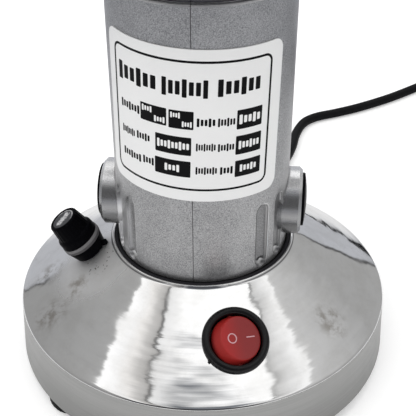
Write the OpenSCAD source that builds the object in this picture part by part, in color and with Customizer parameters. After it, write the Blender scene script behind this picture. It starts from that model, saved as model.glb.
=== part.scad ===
// Stand-type electric coffee grinder: a dished steel base, an upright motor housing in two
// halves, and a steel bowl with blades under a lid. Millimetres, +Z up, the origin on the table
// under the middle of the base. The housing's front seam is at -Y and its brush bosses at +-X.
// An azimuth is counted in degrees from the front (-Y) towards the right (+X).

/* [Base dish] */
// Diameter at the sharp edge between cone and skirt
base_d = 140; // [130:1:160]
// Slope of the cone
cone_slope = 32.6; // [29:0.1:35]
// Height of the skirt
skirt_h = 21; // [19:0.5:30]
// How much wider the skirt is at its lower edge, on the radius
skirt_flare = 1.2; // [0:0.1:3]
// Sheet thickness of the dish
dish_sheet = 1.2; // [0.8:0.1:1.6]
// Radius of the rolled lip round the opening
lip_r = 0.9; // [0.6:0.1:1.2]
// Thickness of the bottom plate
bottom_t = 1.5; // [1:0.1:2.5]
// Thickness of the plate under the motor
mount_t = 2; // [1.5:0.1:3]

/* [Feet and fixings] */
// Height of the rubber feet
foot_h = 5; // [4:0.5:10]
// Diameter of the rubber feet
foot_d = 18; // [14:0.5:20]
// Distance of the feet's middles from the dish's edge
foot_inset = 8; // [8:0.5:14]
// Diameter of the machine screws
screw_d = 3.8; // [3:0.1:4]
// Head diameter of the machine screws
screw_head_d = 7.2; // [6:0.1:7.6]
// Head height of the machine screws
screw_head_h = 2.2; // [1.6:0.1:2.4]
// Diameter of the pillars between the two plates
pillar_d = 9; // [7:0.5:10]
// Distance of the pillars from the axis
pillar_reach = 24.5; // [22:0.1:25]

/* [Motor housing] */
// Outer diameter of the housing
body_d = 62.8; // [61:0.1:66]
// Wall thickness of the housing
body_wall = 2.8; // [2:0.1:3.2]
// Gap at the seam between the halves
seam_gap = 0.2; // [0.1:0.05:0.4]
// Width of the rubber ring round the housing
ring_w = 2.2; // [1.6:0.1:3]
// Rounding of the housing's upper shoulder
shoulder_round = 0.8; // [0.6:0.1:1.8]
// Depth of the neck groove above the shoulder
neck_depth = 2; // [1.8:0.1:3]
// Height of the neck groove
neck_h = 6; // [4:0.5:10]
// Height of the pressed grooves beside the bosses
groove_h = 25.5; // [20:0.5:28]
// Width of the pressed grooves
groove_w = 5.5; // [3:0.1:5.5]
// Depth of the pressed grooves
groove_depth = 1; // [0.8:0.1:1.8]

/* [Brush gear] */
// Outer diameter of the brush bosses
boss_d = 24.6; // [21:0.1:25]
// Distance from the axis to a boss's end face
boss_reach = 36.4; // [36:0.1:42]
// Diameter of the brush caps
cap_d = 19.6; // [18:0.1:20.6]
// Dome height of the brush caps
cap_dome = 2.2; // [1:0.1:2.5]
// Outer diameter of the brush holders
holder_d = 16; // [14:0.1:16.4]
// Length of a new carbon brush
brush_l = 14; // [12:0.1:15]
// Width of a carbon brush
brush_w = 6; // [5:0.1:6.4]
// Height of a carbon brush
brush_h = 8; // [6:0.1:9]
// Wire diameter of the brush springs
spring_wire = 0.6; // [0.4:0.05:0.7]

/* [Motor] */
// Diameter of the shaft
shaft_d = 8; // [7:0.1:8.4]
// Outer diameter of the ball bearings
bearing_d = 22; // [20:0.1:23]
// Width of the ball bearings
bearing_w = 7; // [6:0.1:8]
// Outer diameter of the stator core
stator_d = 50; // [48:0.1:51]
// Diameter of the rotor core
rotor_d = 29; // [27:0.1:30]
// Length of both cores
core_l = 32; // [28:0.5:38]
// Air gap between rotor and poles
air_gap = 0.6; // [0.4:0.05:0.8]
// Diameter of the commutator
commutator_d = 22; // [20:0.1:22.4]
// Length of the commutator
commutator_l = 13.6; // [13.2:0.1:18]
// Diameter of the cooling fan
fan_d = 43; // [38:0.5:43.5]
// Height of the cooling fan
fan_h = 6; // [5:0.1:9]

/* [Grinding bowl] */
// Outer diameter of the bowl
bowl_d = 102; // [98:1:112]
// Height of the bowl
bowl_h = 63.5; // [56:0.5:80]
// Sheet thickness of the bowl
bowl_sheet = 1.2; // [0.8:0.1:1.5]
// Outer corner radius at the bowl's floor
bowl_corner = 10; // [8:0.5:12]
// Distance of the bowl's screws from the axis
bowl_screw_reach = 18; // [16.5:0.1:19]
// Height of the cradle's floor under the bowl
cradle_floor = 8; // [7:0.5:12]
// How far the cradle's wall rises beside the bowl
cradle_grip = 19; // [14:0.5:24]
// Radius of the blades' sweep
blade_reach = 43; // [36:0.5:43]
// Thickness of the blades
blade_t = 2; // [1.5:0.1:2.5]
// Width of the blades at the hub
blade_w = 15; // [13:0.5:18]
// Height of the spacer between the blades
spacer_h = 10; // [6:0.5:20]

/* [Lid] */
// Sheet thickness of the lid
lid_sheet = 1.2; // [0.8:0.1:1.5]
// Height of the lid's skirt below the bowl's rim
lid_skirt = 14; // [8:0.5:20]
// Height of the gasket
gasket_h = 3; // [2:0.1:4]
// Diameter of the knob
knob_d = 38; // [32:0.5:44]
// Height of the knob
knob_h = 24; // [20:0.5:30]

/* [Switch] */
// Azimuth of the switch
switch_az = 18.6; // [10:0.1:26]
// How far out the switch sits, as a share of the way from the opening to the dish's edge
switch_share = 0.4725; // [0.47:0.0025:0.5]
// Outer diameter of the bezel
bezel_d = 23.4; // [22.6:0.1:24.4]
// Height of the bezel
bezel_h = 2.3; // [1.8:0.1:3]
// Diameter of the rocker
rocker_d = 17.2; // [15:0.1:17.4]
// Tilt of the rocker to either side
rocker_tilt = 8; // [5:0.5:9]

/* [Fuse holder] */
// Azimuth of the fuse holder
fuse_az = -78.4; // [-84:0.1:-72]
// How far out the fuse holder sits, as a share of the way from the opening to the dish's edge
fuse_share = 0.2445; // [0.235:0.0005:0.28]
// Diameter of the threaded barrel
barrel_d = 11; // [10:0.1:11.6]
// Diameter of the flange
flange_d = 14.8; // [13.6:0.1:15.6]
// Height of the flange
flange_h = 4.9; // [3.6:0.1:6]
// Diameter of the grey washer
washer_d = 15.6; // [14.4:0.1:16]
// Height of the cap above the washer
fuse_cap_h = 10.2; // [9:0.1:14]
// Diameter of the glass fuse
fuse_d = 5.2; // [4.8:0.1:5.4]

/* [Label] */
// Thickness of the label plate
label_t = 0.4; // [0.2:0.05:0.6]
// How far the label reaches below the core
label_below = 10.5; // [4:0.5:14]
// How far the label reaches above the core
label_above = 11.4; // [4:0.1:16]
// Left edge of the label, as an azimuth
label_left = -66; // [-70:1:-50]
// Right edge of the label, as an azimuth
label_right = 59; // [50:1:62]
// Lean of the label, its left end higher
label_lean = 1.6; // [0:0.1:2]
// Corner radius of the label
label_corner = 4; // [2:0.1:6]

/* [Cord] */
// Diameter of the cord
cord_d = 5; // [4.4:0.1:5.4]
// Loops in each layer of the put-away coil
coil_loops = 2.375; // [2.375, 3.375]
// Outer radius of the coil's centre line
coil_r = 34; // [32:0.5:40]

/* [Hidden] */
$fn = 64;

// Clearances
fit_gap = 0.02;
pin_gap = 0.05;
slide_gap = 0.1;
seat_gap = 0.2;
free_gap = 0.3;

// Base heights and radii
base_r = base_d / 2;
body_r = body_d / 2;
opening_r = body_r + ring_w;
rim_z = foot_h + skirt_h;
opening_z = cone_z(opening_r);
skirt_bottom_r = base_r + skirt_flare;
mount_r = opening_r + 1.4;
mount_top = cone_z(mount_r) - dish_sheet / cos(cone_slope) - slide_gap;
mount_under = mount_top - mount_t;
ring_rise = 0.1;
bottom_top = foot_h + bottom_t;
tab_t = 1.5;
tab_w = 16;
foot_reach = base_r - foot_inset;
foot_sink = 3;
foot_taper = 0.8;
screw_r = screw_d / 2;
hole_r = screw_r + seat_gap;
thread_l = 8;
thread_hole_r = screw_r + fit_gap;
stud_l = mount_t + thread_l;
stud_boss_r = 4.2;
corner_azimuths = [45, 135, 225, 315];
vent_reach = 18.5;
vent_r = 2.6;
// How far a cut runs past the faces it opens
over = 1;

// Motor stack, from the bottom up
house_z0 = mount_top;
house_floor = 2.5;
lower_bearing_z = house_z0 + house_floor;
commutator_z0 = lower_bearing_z + bearing_w + 2;
commutator_z1 = commutator_z0 + commutator_l;
boss_z = commutator_z0 + commutator_l / 2;
winding_room = 22;
core_z0 = commutator_z1 + winding_room;
core_z1 = core_z0 + core_l;
coil_overhang = 8;
fan_z0 = core_z1 + coil_overhang + 1;
fan_z1 = fan_z0 + fan_h;
upper_bearing_z = fan_z1 + 1;
shoulder_z = upper_bearing_z + bearing_w + 2;
inner_r = body_r - body_wall;
neck_r = body_r - neck_depth;
bearing_r = bearing_d / 2;
ring_t = 2.2;
shaft_r = shaft_d / 2;
stator_r = stator_d / 2;
rotor_r = rotor_d / 2;
slot_count = 12;
slot_reach = rotor_r - 3;
slot_r = 1.8;
pole_r = rotor_r + air_gap;
shoe_t = 2.4;
coil_r0 = pole_r + shoe_t + free_gap;
coil_t = 3.4;
pole_half = 8.5;
coil_half = 16.5;
lug_r = 3.4;
lug_y = inner_r - 2.6;
lug_l = 9.5;
lug_rise = 6;
lug_heights = [core_z0 - lug_rise, core_z1 + lug_rise];
housing_screw_r = 1.6;
housing_screw_l = 17.5;
housing_head_r = screw_head_d / 2 - 0.8;
bearing_wall = 3;
boss_wall = 2.4;

// Label
label_r = body_r + fit_gap;
label_z0 = core_z0 - label_below;
label_z1 = core_z1 + label_above;

// Brush gear, along the X axis
boss_r = boss_d / 2;
boss_bevel = 1.1;
holder_r = holder_d / 2;
holder_inner_x = commutator_d / 2 + 2;
brush_tip_x = commutator_d / 2 + slide_gap;
brush_tail_x = brush_tip_x + brush_l;
spring_room = 6.2;
cap_stem_x = brush_tail_x + spring_room;
groove_z = opening_z + 1.7;
groove_r = groove_w / 2;
groove_azimuths = [-132.5, -115, -65, -47.5, 47.5, 65, 115, 132.5];

// Bowl stack
cradle_z0 = shoulder_z + neck_h;
seat_z = cradle_z0 + cradle_floor;
bowl_r = bowl_d / 2;
bowl_floor_z = seat_z + bowl_sheet;
bowl_rim_z = seat_z + bowl_h;
bowl_lip = 1.6;
bowl_rim_r = bowl_r + bowl_lip;
rim_t = 1.5;
cradle_wall = 3;
cradle_r = bowl_r + free_gap + cradle_wall;
seal_r = 9;
collar_r = shaft_r + 2.5;
blade_z0 = bowl_floor_z + screw_head_h + 1.6;
spacer_z0 = blade_z0 + blade_t;
upper_blade_z0 = spacer_z0 + spacer_h;
nut_z0 = upper_blade_z0 + blade_t;
nut_h = 6;
shaft_top = nut_z0 + nut_h + 2;

// Lid stack
gasket_z0 = bowl_rim_z + seat_gap;
lid_under = gasket_z0 + gasket_h + seat_gap;
lid_inner_r = bowl_rim_r + 0.4;
lid_r = lid_inner_r + lid_sheet;
lid_round = 2.6;
lid_crown = 5.4;
knob_z0 = lid_under + lid_sheet + lid_crown;
knob_r = knob_d / 2;
knob_screw_l = 12;

// Switch and fuse holder, in the frame of their seat on the cone
bezel_r = bezel_d / 2;
switch_reach = opening_r + switch_share * (base_r - opening_r);
rocker_r = rocker_d / 2;
barrel_r = bezel_r - 1.75;
well_r = rocker_r + 0.45;
nib_az = -151;
well_depth = 6;
pivot_z = -1.6;
pivot_r = 1.2;
rocker_top = 1.9;
rocker_bottom = -3.6;
rocker_cone_z = -0.8;
switch_depth = 18;
fuse_r = fuse_d / 2;
fuse_reach = opening_r + fuse_share * (base_r - opening_r);
flange_r = flange_d / 2;
fuse_tab_az = 72;
fuse_barrel_r = barrel_d / 2;
fuse_depth = 27;
fuse_washer_t = 2.3;
cap_z0 = flange_h + fuse_washer_t;
fuse_l = 20;
cap_plug_r = fuse_barrel_r - 1.4;
cap_plug_l = 7;
fuse_hold = 3;
fuse_z0 = cap_z0 - fuse_hold - fuse_l;

// Wiring in the base
block_at = [0, 45];
block_size = [26, 12, 10];
block_pitch = 8.5;
suppressor_at = [-33, 28];
suppressor_size = [14, 8, 14];
tab_blade = [0.8, 4.8, 7];
wire_h = 5;
lead_r = 1.1;

// Cord route: hand-picked points from the strain relief to the coil, and from the coil to the plug
cord_r = cord_d / 2;
cord_exit = [17, 85, 14];
cord_points = [
  cord_exit, [18, 90, 14], [20, 100, 11], [23, 112, 5], [27, 124, 2.5], [31, 136, 2.5],
  [33.5, 148, 2.5], [35, 160, 2.5], [39, 173, 2.5], [46, 181, 2.5], [58, 187.5, 2.5],
  [72, 196, 2.5], [90, 209.5, 2.5], [106, 224, 2.5], [120, 237, 2.5], [134, 247, 2.5],
  [148, 253.5, 2.5], [160, 256, 2.5], [165, 256, 2.5]
];
relief_r = cord_r + 2;
exit_az = 180 - atan2(cord_exit[0], cord_exit[1]);
exit_reach = norm([cord_exit[0], cord_exit[1]]);
coil_centre = [170, 222];
coil_pitch = cord_d + 0.6;
coil_climb = cord_d + 0.6;
tail_points = [
  [204, 217, 8.1], [204, 212, 8.1], [204, 203, 6.5], [204, 193, 5], [204, 183, 6],
  [204, 173, 9.5], [204, 164, 11], [204, 159, 11]
];
plug_at = [204, 159, 11];
plug_l = 48;
plug_w = 34;
plug_t = 21.6;
plug_shoulder = 24;
pin_r = 2.4;
pin_reach = 9.5;
pin_embed = 12;
pin_out = 18;

// Height of the cone's outer surface at radius r
function cone_z(r) = rim_z + (base_r - r) * tan(cone_slope);

// Outer radius of the skirt at height z
function wall_r(z) = base_r + skirt_flare * (rim_z - z) / skirt_h;

// Puts its children at a place on the cone, Z along the outward normal and X to the right
module on_cone(az, r) {
  rotate([0, 0, az]) translate([0, -r, cone_z(r)]) rotate([cone_slope, 0, 0]) children();
}

module tube(r_out, r_in, z0, z1) {
  translate([0, 0, z0]) difference() {
    cylinder(r = r_out, h = z1 - z0);
    translate([0, 0, -over]) cylinder(r = r_in, h = z1 - z0 + 2 * over);
  }
}

module rod(r, z0, z1) {
  translate([0, 0, z0]) cylinder(r = r, h = z1 - z0);
}

// A rod along X, from x0 to x1
module rod_x(r, x0, x1) {
  translate([x0, 0, 0]) rotate([0, 90, 0]) cylinder(r = r, h = x1 - x0);
}

// Puts its children at the four corners, turned with them, at a distance from the axis
module at_corners(reach) {
  for (az = corner_azimuths) rotate([0, 0, az]) translate([0, -reach, 0]) children();
}

// Points of an arc, from angle a0 to a1
function arc(cx, cy, r, a0, a1, steps = 6) = [for (i = [0:steps])
  let (a = a0 + (a1 - a0) * i / steps)
  [cx + r * cos(a), cy + r * sin(a)]
];

// A pan-head screw, its head's seat at z = 0 and its shank going up
module screw(shank_l) {
  slot_l = screw_head_d * 0.6;
  slot_w = 1;
  rod(screw_r, -screw_head_h / 4, shank_l);
  difference() {
    rod(screw_head_d / 2, -screw_head_h, 0);
    for (turn = [0, 90]) rotate([0, 0, turn])
      translate([-slot_l / 2, -slot_w / 2, -screw_head_h - over]) cube([slot_l, slot_w, 2 * over]);
  }
}

// Base
module base_dish() {
  cut = dish_sheet / cos(cone_slope);
  lip_x = opening_r + lip_r;
  inner_rim_z = rim_z + dish_sheet * tan(cone_slope) - cut;
  tab_r = wall_r(bottom_top) - dish_sheet / 2;
  tab_inner = foot_reach - 5;
  color("silver") difference() {
    union() {
      rotate_extrude($fn = 128) polygon([
        [lip_x, cone_z(lip_x)], [base_r, rim_z], [skirt_bottom_r, foot_h],
        [skirt_bottom_r - dish_sheet, foot_h], [base_r - dish_sheet, inner_rim_z],
        [lip_x, cone_z(lip_x) - cut]
      ]);
      rotate_extrude($fn = 128) translate([lip_x, cone_z(lip_x) - cut / 2 + 0.2])
        circle(r = lip_r, $fn = 32);
      intersection() {
        rod(tab_r, bottom_top, bottom_top + tab_t);
        at_corners(tab_inner) translate([-tab_w / 2, -base_r, bottom_top]) cube([tab_w, base_r, tab_t]);
      }
    }
    on_cone(switch_az, switch_reach) rod(barrel_r + seat_gap, -4, 4);
    on_cone(fuse_az, fuse_reach) rod(fuse_barrel_r + seat_gap, -4, 4);
    cord_axis() rod(relief_r + seat_gap, -20, 5);
    at_corners(foot_reach) rod(thread_hole_r, bottom_top - over, bottom_top + tab_t + over);
  }
}

module bottom_plate() {
  slot_w = 3.5;
  slot_l = 12;
  slot_inner = pillar_reach + 10;
  color("dimgray") difference() {
    rod(wall_r(bottom_top) - dish_sheet - free_gap, foot_h, bottom_top);
    for (reach = [foot_reach, pillar_reach]) at_corners(reach) rod(hole_r, foot_h - over, bottom_top + over);
    for (az = [15:30:345]) rotate([0, 0, az])
      translate([-slot_w / 2, -slot_inner - slot_l, foot_h - over])
        cube([slot_w, slot_l, bottom_t + 2 * over]);
  }
}

module mount_plate() {
  color("darkgray") difference() {
    rod(mount_r, mount_under, mount_top);
    rod(shaft_r + 4, mount_under - over, mount_top + over);
    at_corners(pillar_reach) rod(hole_r, mount_under - over, mount_top + over);
    floor_vents(mount_under - over, mount_top + over);
  }
}

// Air holes through the housing's floor and the plate under it
module floor_vents(z0, z1) {
  for (az = [22.5:45:337.5]) rotate([0, 0, az]) translate([0, -vent_reach, 0]) rod(vent_r, z0, z1);
}

module pillars() {
  color("lightgray") at_corners(pillar_reach) difference() {
    union() {
      rod(pillar_d / 2, bottom_top, mount_under);
      rod(screw_r, mount_under - over, mount_under + stud_l);
    }
    rod(thread_hole_r, bottom_top - over, bottom_top + thread_l + over);
  }
}

module base_screws() {
  color("gainsboro") {
    at_corners(foot_reach) translate([0, 0, foot_sink]) screw(foot_h - foot_sink + bottom_t + tab_t + 2);
    at_corners(pillar_reach) translate([0, 0, foot_h]) screw(bottom_t + thread_l);
  }
}

module foot(az) {
  color("black") rotate([0, 0, az]) translate([0, -foot_reach, 0]) difference() {
    union() {
      cylinder(r1 = foot_d / 2 - foot_taper, r2 = foot_d / 2, h = foot_h / 2);
      rod(foot_d / 2, foot_h / 2, foot_h);
    }
    rod(screw_head_d / 2 + 0.5, -over, foot_sink);
    rod(hole_r, -over, foot_h + over);
  }
}

module foot_front_right() { foot(corner_azimuths[0]); }
module foot_rear_right() { foot(corner_azimuths[1]); }
module foot_rear_left() { foot(corner_azimuths[2]); }
module foot_front_left() { foot(corner_azimuths[3]); }

module neck_ring() {
  ring_out = opening_r - slide_gap;
  ring_in = body_r + slide_gap / 2;
  ring_top = opening_z + ring_rise;
  round_r = (ring_out - ring_in) / 2;
  color([0.08, 0.08, 0.09]) rotate_extrude($fn = 128) polygon(concat(
    [[ring_in, mount_top], [ring_out, mount_top]],
    arc(ring_in + round_r, ring_top - round_r, round_r, 0, 180, 8)
  ));
}

// Motor housing
module housing_shell() {
  hub_r = shaft_r + 4;
  channel_w = 10;
  slot_w = 3;
  slot_h = 11;
  difference() {
    union() {
      difference() {
        rotate_extrude($fn = 128) polygon(concat(
          [[inner_r, house_z0], [body_r, house_z0]],
          arc(body_r - shoulder_round, shoulder_z - shoulder_round, shoulder_round, 0, 90, 5),
          [[neck_r, shoulder_z], [neck_r, cradle_z0], [neck_r - 2, cradle_z0], [inner_r, upper_bearing_z]]
        ));
        for (az = groove_azimuths) pressed_groove(az);
      }
      tube(inner_r + 1, hub_r, house_z0, lower_bearing_z);
      tube(bearing_r + bearing_wall, bearing_r + fit_gap,
        lower_bearing_z - 0.5, lower_bearing_z + bearing_w);
      tube(inner_r + 0.5, stator_r + fit_gap, core_z0 + 2, core_z1 - 2);
      tube(inner_r + 0.5, bearing_r + fit_gap, upper_bearing_z, upper_bearing_z + bearing_w);
      tube(neck_r - 1, shaft_r + 3, upper_bearing_z + bearing_w, cradle_z0);
      at_bosses() {
        rod_x(boss_r, inner_r - 4, boss_reach - boss_bevel);
        translate([boss_reach - boss_bevel, 0, 0]) rotate([0, 90, 0])
          cylinder(r1 = boss_r, r2 = boss_r - boss_bevel, h = boss_bevel);
        rod_x(holder_r + boss_wall, holder_inner_x + 5, inner_r);
      }
      at_lugs() rod_x(lug_r, -lug_l, lug_l);
      at_corners(pillar_reach) rod(stud_boss_r, house_z0, mount_under + stud_l + 1.5);
    }
    at_bosses() rod_x(holder_r + slide_gap, 0, boss_reach + over);
    at_lugs() {
      rod_x(housing_screw_r + seat_gap, 0, 2 * lug_l);
      rod_x(housing_screw_r + fit_gap, lug_l - housing_screw_l - 0.5, over);
      rod_x(housing_head_r + 0.4, lug_l, 2.5 * lug_l);
    }
    at_corners(pillar_reach) rod(thread_hole_r, house_z0 - over, mount_under + stud_l + 0.5);
    at_corners(bowl_screw_reach) rod(thread_hole_r, cradle_z0 - thread_l + over, cradle_z0 + over);
    floor_vents(house_z0 - over, lower_bearing_z + over);
    for (az = corner_azimuths) rotate([0, 0, az])
      translate([-channel_w / 2, -inner_r + 0.4, core_z0]) cube([channel_w, 6, core_l]);
    for (side = [-1, 1], az = [45, 54, 63]) rotate([0, 0, 180 + side * az])
      translate([-slot_w / 2, -body_r - over, fan_z0 - fan_h]) cube([slot_w, body_wall + 3 * over, slot_h]);
  }
}

// Puts its children at both brush bosses, X along the boss
module at_bosses() {
  for (side = [-1, 1]) scale([side, 1, 1]) translate([0, 0, boss_z]) children();
}

// Puts its children at the four lugs of the housing's screws
module at_lugs() {
  for (y = [-lug_y, lug_y], z = lug_heights) translate([0, y, z]) children();
}

// A shallow groove with a round top and a scooped lower end
module pressed_groove(az) {
  rotate([0, 0, az]) {
    translate([-groove_r, -body_r - over, groove_z + groove_r])
      cube([groove_w, groove_depth + over, groove_h - 2 * groove_r]);
    for (z = [groove_z + groove_r, groove_z + groove_h - groove_r]) translate([0, -body_r + groove_depth, z])
      rotate([90, 0, 0]) cylinder(r = groove_r, h = groove_depth + over);
    translate([0, -body_r - 0.4, groove_z + groove_r * 0.4]) sphere(r = groove_r * 0.85, $fn = 32);
  }
}

// Everything on one side of the seam
module half_space(side) {
  reach = 2 * base_r;
  translate([side > 0 ? seam_gap / 2 : -reach - seam_gap / 2, -reach, 0])
    cube([reach, 2 * reach, 2 * cradle_z0]);
}

module housing_left() {
  color([0.66, 0.67, 0.69]) intersection() {
    housing_shell();
    half_space(-1);
  }
}

module housing_right() {
  color([0.66, 0.67, 0.69]) intersection() {
    housing_shell();
    half_space(1);
  }
}

module housing_screws() {
  head_h = 2;
  slot_w = 0.8;
  color("gainsboro") at_lugs() {
    rod_x(housing_screw_r, lug_l - housing_screw_l, lug_l + 0.5);
    difference() {
      rod_x(housing_head_r, lug_l, lug_l + head_h);
      translate([lug_l + head_h - 0.6, -slot_w / 2, -head_h]) cube([over, slot_w, 2 * head_h]);
    }
  }
}

// The label's outline, unrolled: s runs round the housing from the front seam, z is the height
function label_s(az) = label_r * az * PI / 180;
function unrolled_label() = concat(
  arc(label_s(label_right) - label_corner, label_z1 - label_corner, label_corner, 0, 90, 4),
  [for (i = [0:7]) [label_s(label_right + (label_left - label_right) * (i + 1) / 9), label_z1]],
  arc(label_s(label_left) + label_corner, label_z1 - label_corner, label_corner, 90, 180, 4),
  arc(label_s(label_left) + label_corner, label_z0 + label_corner, label_corner, 180, 270, 4),
  [for (i = [0:7]) [label_s(label_left + (label_right - label_left) * (i + 1) / 9), label_z0]],
  arc(label_s(label_right) - label_corner, label_z0 + label_corner, label_corner, 270, 360, 4)
);
module label_plate() {
  outline = [for (p = unrolled_label())
    [label_r * sin(p[0] / label_r * 180 / PI), p[1] - p[0] * tan(label_lean)]];
  color("white") intersection() {
    tube(label_r + label_t, label_r, label_z0 - label_corner, label_z1 + label_corner);
    rotate([90, 0, 0]) linear_extrude(2 * label_r) polygon(outline);
  }
}

// Brush gear
module brush_holder(side) {
  color("goldenrod") scale([side, 1, 1]) translate([0, 0, boss_z]) difference() {
    rod_x(holder_r, holder_inner_x, cap_stem_x - seat_gap);
    translate([holder_inner_x - over, -brush_w / 2 - slide_gap, -brush_h / 2 - slide_gap])
      cube([cap_stem_x, brush_w + 2 * slide_gap, brush_h + 2 * slide_gap]);
  }
}

module brush_holder_left() { brush_holder(-1); }
module brush_holder_right() { brush_holder(1); }

module brush(side) {
  color([0.16, 0.16, 0.17]) scale([side, 1, 1]) translate([0, 0, boss_z]) difference() {
    translate([brush_tip_x - 1.5, -brush_w / 2, -brush_h / 2]) cube([brush_l + 1.5, brush_w, brush_h]);
    translate([0, 0, -brush_h]) cylinder(r = brush_tip_x, h = 2 * brush_h);
  }
}

module brush_left() { brush(-1); }
module brush_right() { brush(1); }

module brush_caps() {
  edge = 0.5;
  stem_wall = 2.4;
  stem_end = cap_stem_x - boss_reach;
  slot_l = cap_d * 0.72;
  slot_w = 1.8;
  dome_rise = cap_dome - edge;
  dome_r = (pow(cap_d / 2, 2) + pow(dome_rise, 2)) / (2 * dome_rise);
  color([0.07, 0.07, 0.08]) at_bosses() translate([boss_reach, 0, 0]) rotate([0, 90, 0]) {
    difference() {
      union() {
        rod(cap_d / 2, 0, edge);
        intersection() {
          rod(cap_d / 2, 0, cap_dome);
          translate([0, 0, cap_dome - dome_r]) sphere(r = dome_r, $fn = 96);
        }
        rod(holder_r - slide_gap, stem_end, seat_gap);
      }
      rod(holder_r - stem_wall, stem_end - over, -stem_wall);
      translate([-slot_l / 2, -slot_w / 2, cap_dome - slot_w / 2]) cube([slot_l, slot_w, slot_w]);
    }
    rod(holder_r - stem_wall + fit_gap, stem_end, stem_end + 0.8);
  }
}

// A round wire swept along points, with flat ends, as rings of so many sides
function unit(v) = v / norm(v);
function along(p, i) = unit(p[min(i + 1, len(p) - 1)] - p[max(i - 1, 0)]);
module swept(p, r, sides, up = [0, 0, 1]) {
  n = len(p);
  last = (n - 1) * sides;
  rings = [for (i = [0:n - 1]) let (t = along(p, i), a = unit(cross(t, up)), b = cross(a, t))
    for (k = [0:sides - 1]) p[i] + r * (a * cos(360 * k / sides) + b * sin(360 * k / sides))];
  walls = [for (i = [0:n - 2], k = [0:sides - 1])
    let (m = (k + 1) % sides, here = i * sides, next = here + sides)
    each [[here + k, next + k, here + m], [here + m, next + k, next + m]]];
  caps = [for (k = [1:sides - 2]) each [[0, k, k + 1], [last, last + k + 1, last + k]]];
  polyhedron(points = rings, faces = concat(walls, caps));
}

spring_turns = 5;
spring_rings = 8;
spring_coil_r = min(brush_w, brush_h) / 2 - spring_wire;
spring_l = cap_stem_x - brush_tail_x - 2 * pin_gap - spring_wire;
function spring_points() = [for (i = [0:spring_turns * spring_rings]) [
  brush_tail_x + pin_gap + spring_wire / 2 + spring_l * i / (spring_turns * spring_rings),
  spring_coil_r * cos(360 * i / spring_rings), spring_coil_r * sin(360 * i / spring_rings)]];
module brush_spring(side) {
  color("silver") rotate([0, 0, side > 0 ? 0 : 180]) translate([0, 0, boss_z])
    swept(spring_points(), spring_wire / 2, 6, [1, 0, 0]);
}

module brush_spring_left() { brush_spring(-1); }
module brush_spring_right() { brush_spring(1); }

// Motor
module stator_core() {
  yoke_t = 3.4;
  shoe_half = pole_r * 0.85;
  color("slategray") difference() {
    rod(stator_r, core_z0, core_z1);
    difference() {
      rod(stator_r - yoke_t, core_z0 - over, core_z1 + over);
      pole_slab(pole_half, core_z0 - over, core_z1 + over);
      intersection() {
        rod(pole_r + shoe_t, core_z0 - over, core_z1 + over);
        pole_slab(shoe_half, core_z0 - over, core_z1 + over);
      }
    }
    rod(pole_r, core_z0 - 2 * over, core_z1 + 2 * over);
  }
}

// A slab across both poles, half its width to either side
module pole_slab(half, z0, z1) {
  translate([-body_r, -half, z0]) cube([2 * body_r, 2 * half, z1 - z0]);
}

module field_coil(side) {
  z0 = core_z0 - coil_overhang;
  z1 = core_z1 + coil_overhang;
  color([0.72, 0.36, 0.16]) intersection() {
    difference() {
      tube(coil_r0 + coil_t, coil_r0, z0, z1);
      pole_slab(pole_half + free_gap, core_z0 - free_gap, core_z1 + free_gap);
    }
    pole_slab(coil_half, z0, z1);
    translate([side > 0 ? 0 : -body_r, -body_r, z0]) cube([body_r, 2 * body_r, z1 - z0]);
  }
}

module field_coil_left() { field_coil(-1); }
module field_coil_right() { field_coil(1); }

module bearing_outer_rings() {
  shield_t = 0.5;
  shield_sink = 0.4;
  color("lightsteelblue") for (z = [lower_bearing_z, upper_bearing_z]) {
    tube(bearing_r, bearing_r - ring_t, z, z + bearing_w);
    for (shield_z = [z + shield_sink, z + bearing_w - shield_sink - shield_t])
      tube(bearing_r - ring_t + slide_gap, shaft_r + ring_t + free_gap, shield_z, shield_z + shield_t);
  }
}

module bearing_inner_rings() {
  color("lightsteelblue") for (z = [lower_bearing_z, upper_bearing_z])
    tube(shaft_r + ring_t, shaft_r + fit_gap, z, z + bearing_w);
}

module shaft() {
  color("lightgray") {
    rod(shaft_r, house_z0 + 1.5, shaft_top);
    rod(collar_r, bowl_floor_z + 0.8, blade_z0);
  }
}

// Puts its children in each slot of the rotor
module at_slots() {
  for (i = [0:slot_count - 1]) rotate([0, 0, i * 360 / slot_count])
    translate([0, -slot_reach, 0]) children();
}

module rotor_core() {
  mouth_w = 1.6;
  color("slategray") difference() {
    rod(rotor_r, core_z0, core_z1);
    rod(shaft_r + fit_gap, core_z0 - over, core_z1 + over);
    at_slots() {
      rod(slot_r, core_z0 - over, core_z1 + over);
      translate([-mouth_w / 2, -slot_r - 2 * over, core_z0 - over])
        cube([mouth_w, slot_r + 2 * over, core_l + 2 * over]);
    }
  }
}

module rotor_winding() {
  turn_h = 7;
  color([0.72, 0.36, 0.16]) {
    at_slots() rod(slot_r - free_gap, core_z0 - over, core_z1 + over);
    for (z = [core_z0 - seat_gap - turn_h, core_z1 + seat_gap])
      tube(rotor_r - 1.2, shaft_r + 1.4, z, z + turn_h);
  }
}

module commutator() {
  bars = 24;
  split_w = 0.5;
  flange_w = 1.2;
  commutator_r = commutator_d / 2;
  color("peru") difference() {
    union() {
      rod(commutator_r, commutator_z0, commutator_z1);
      rod(commutator_r + flange_w, commutator_z1 - 2, commutator_z1);
    }
    rod(shaft_r + fit_gap, commutator_z0 - over, commutator_z1 + over);
    for (i = [0:bars - 1]) rotate([0, 0, i * 360 / bars])
      translate([-split_w / 2, -commutator_r - 2 * over, commutator_z0 - over])
        cube([split_w, 2.8, commutator_l + 2 * over]);
  }
}

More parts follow.
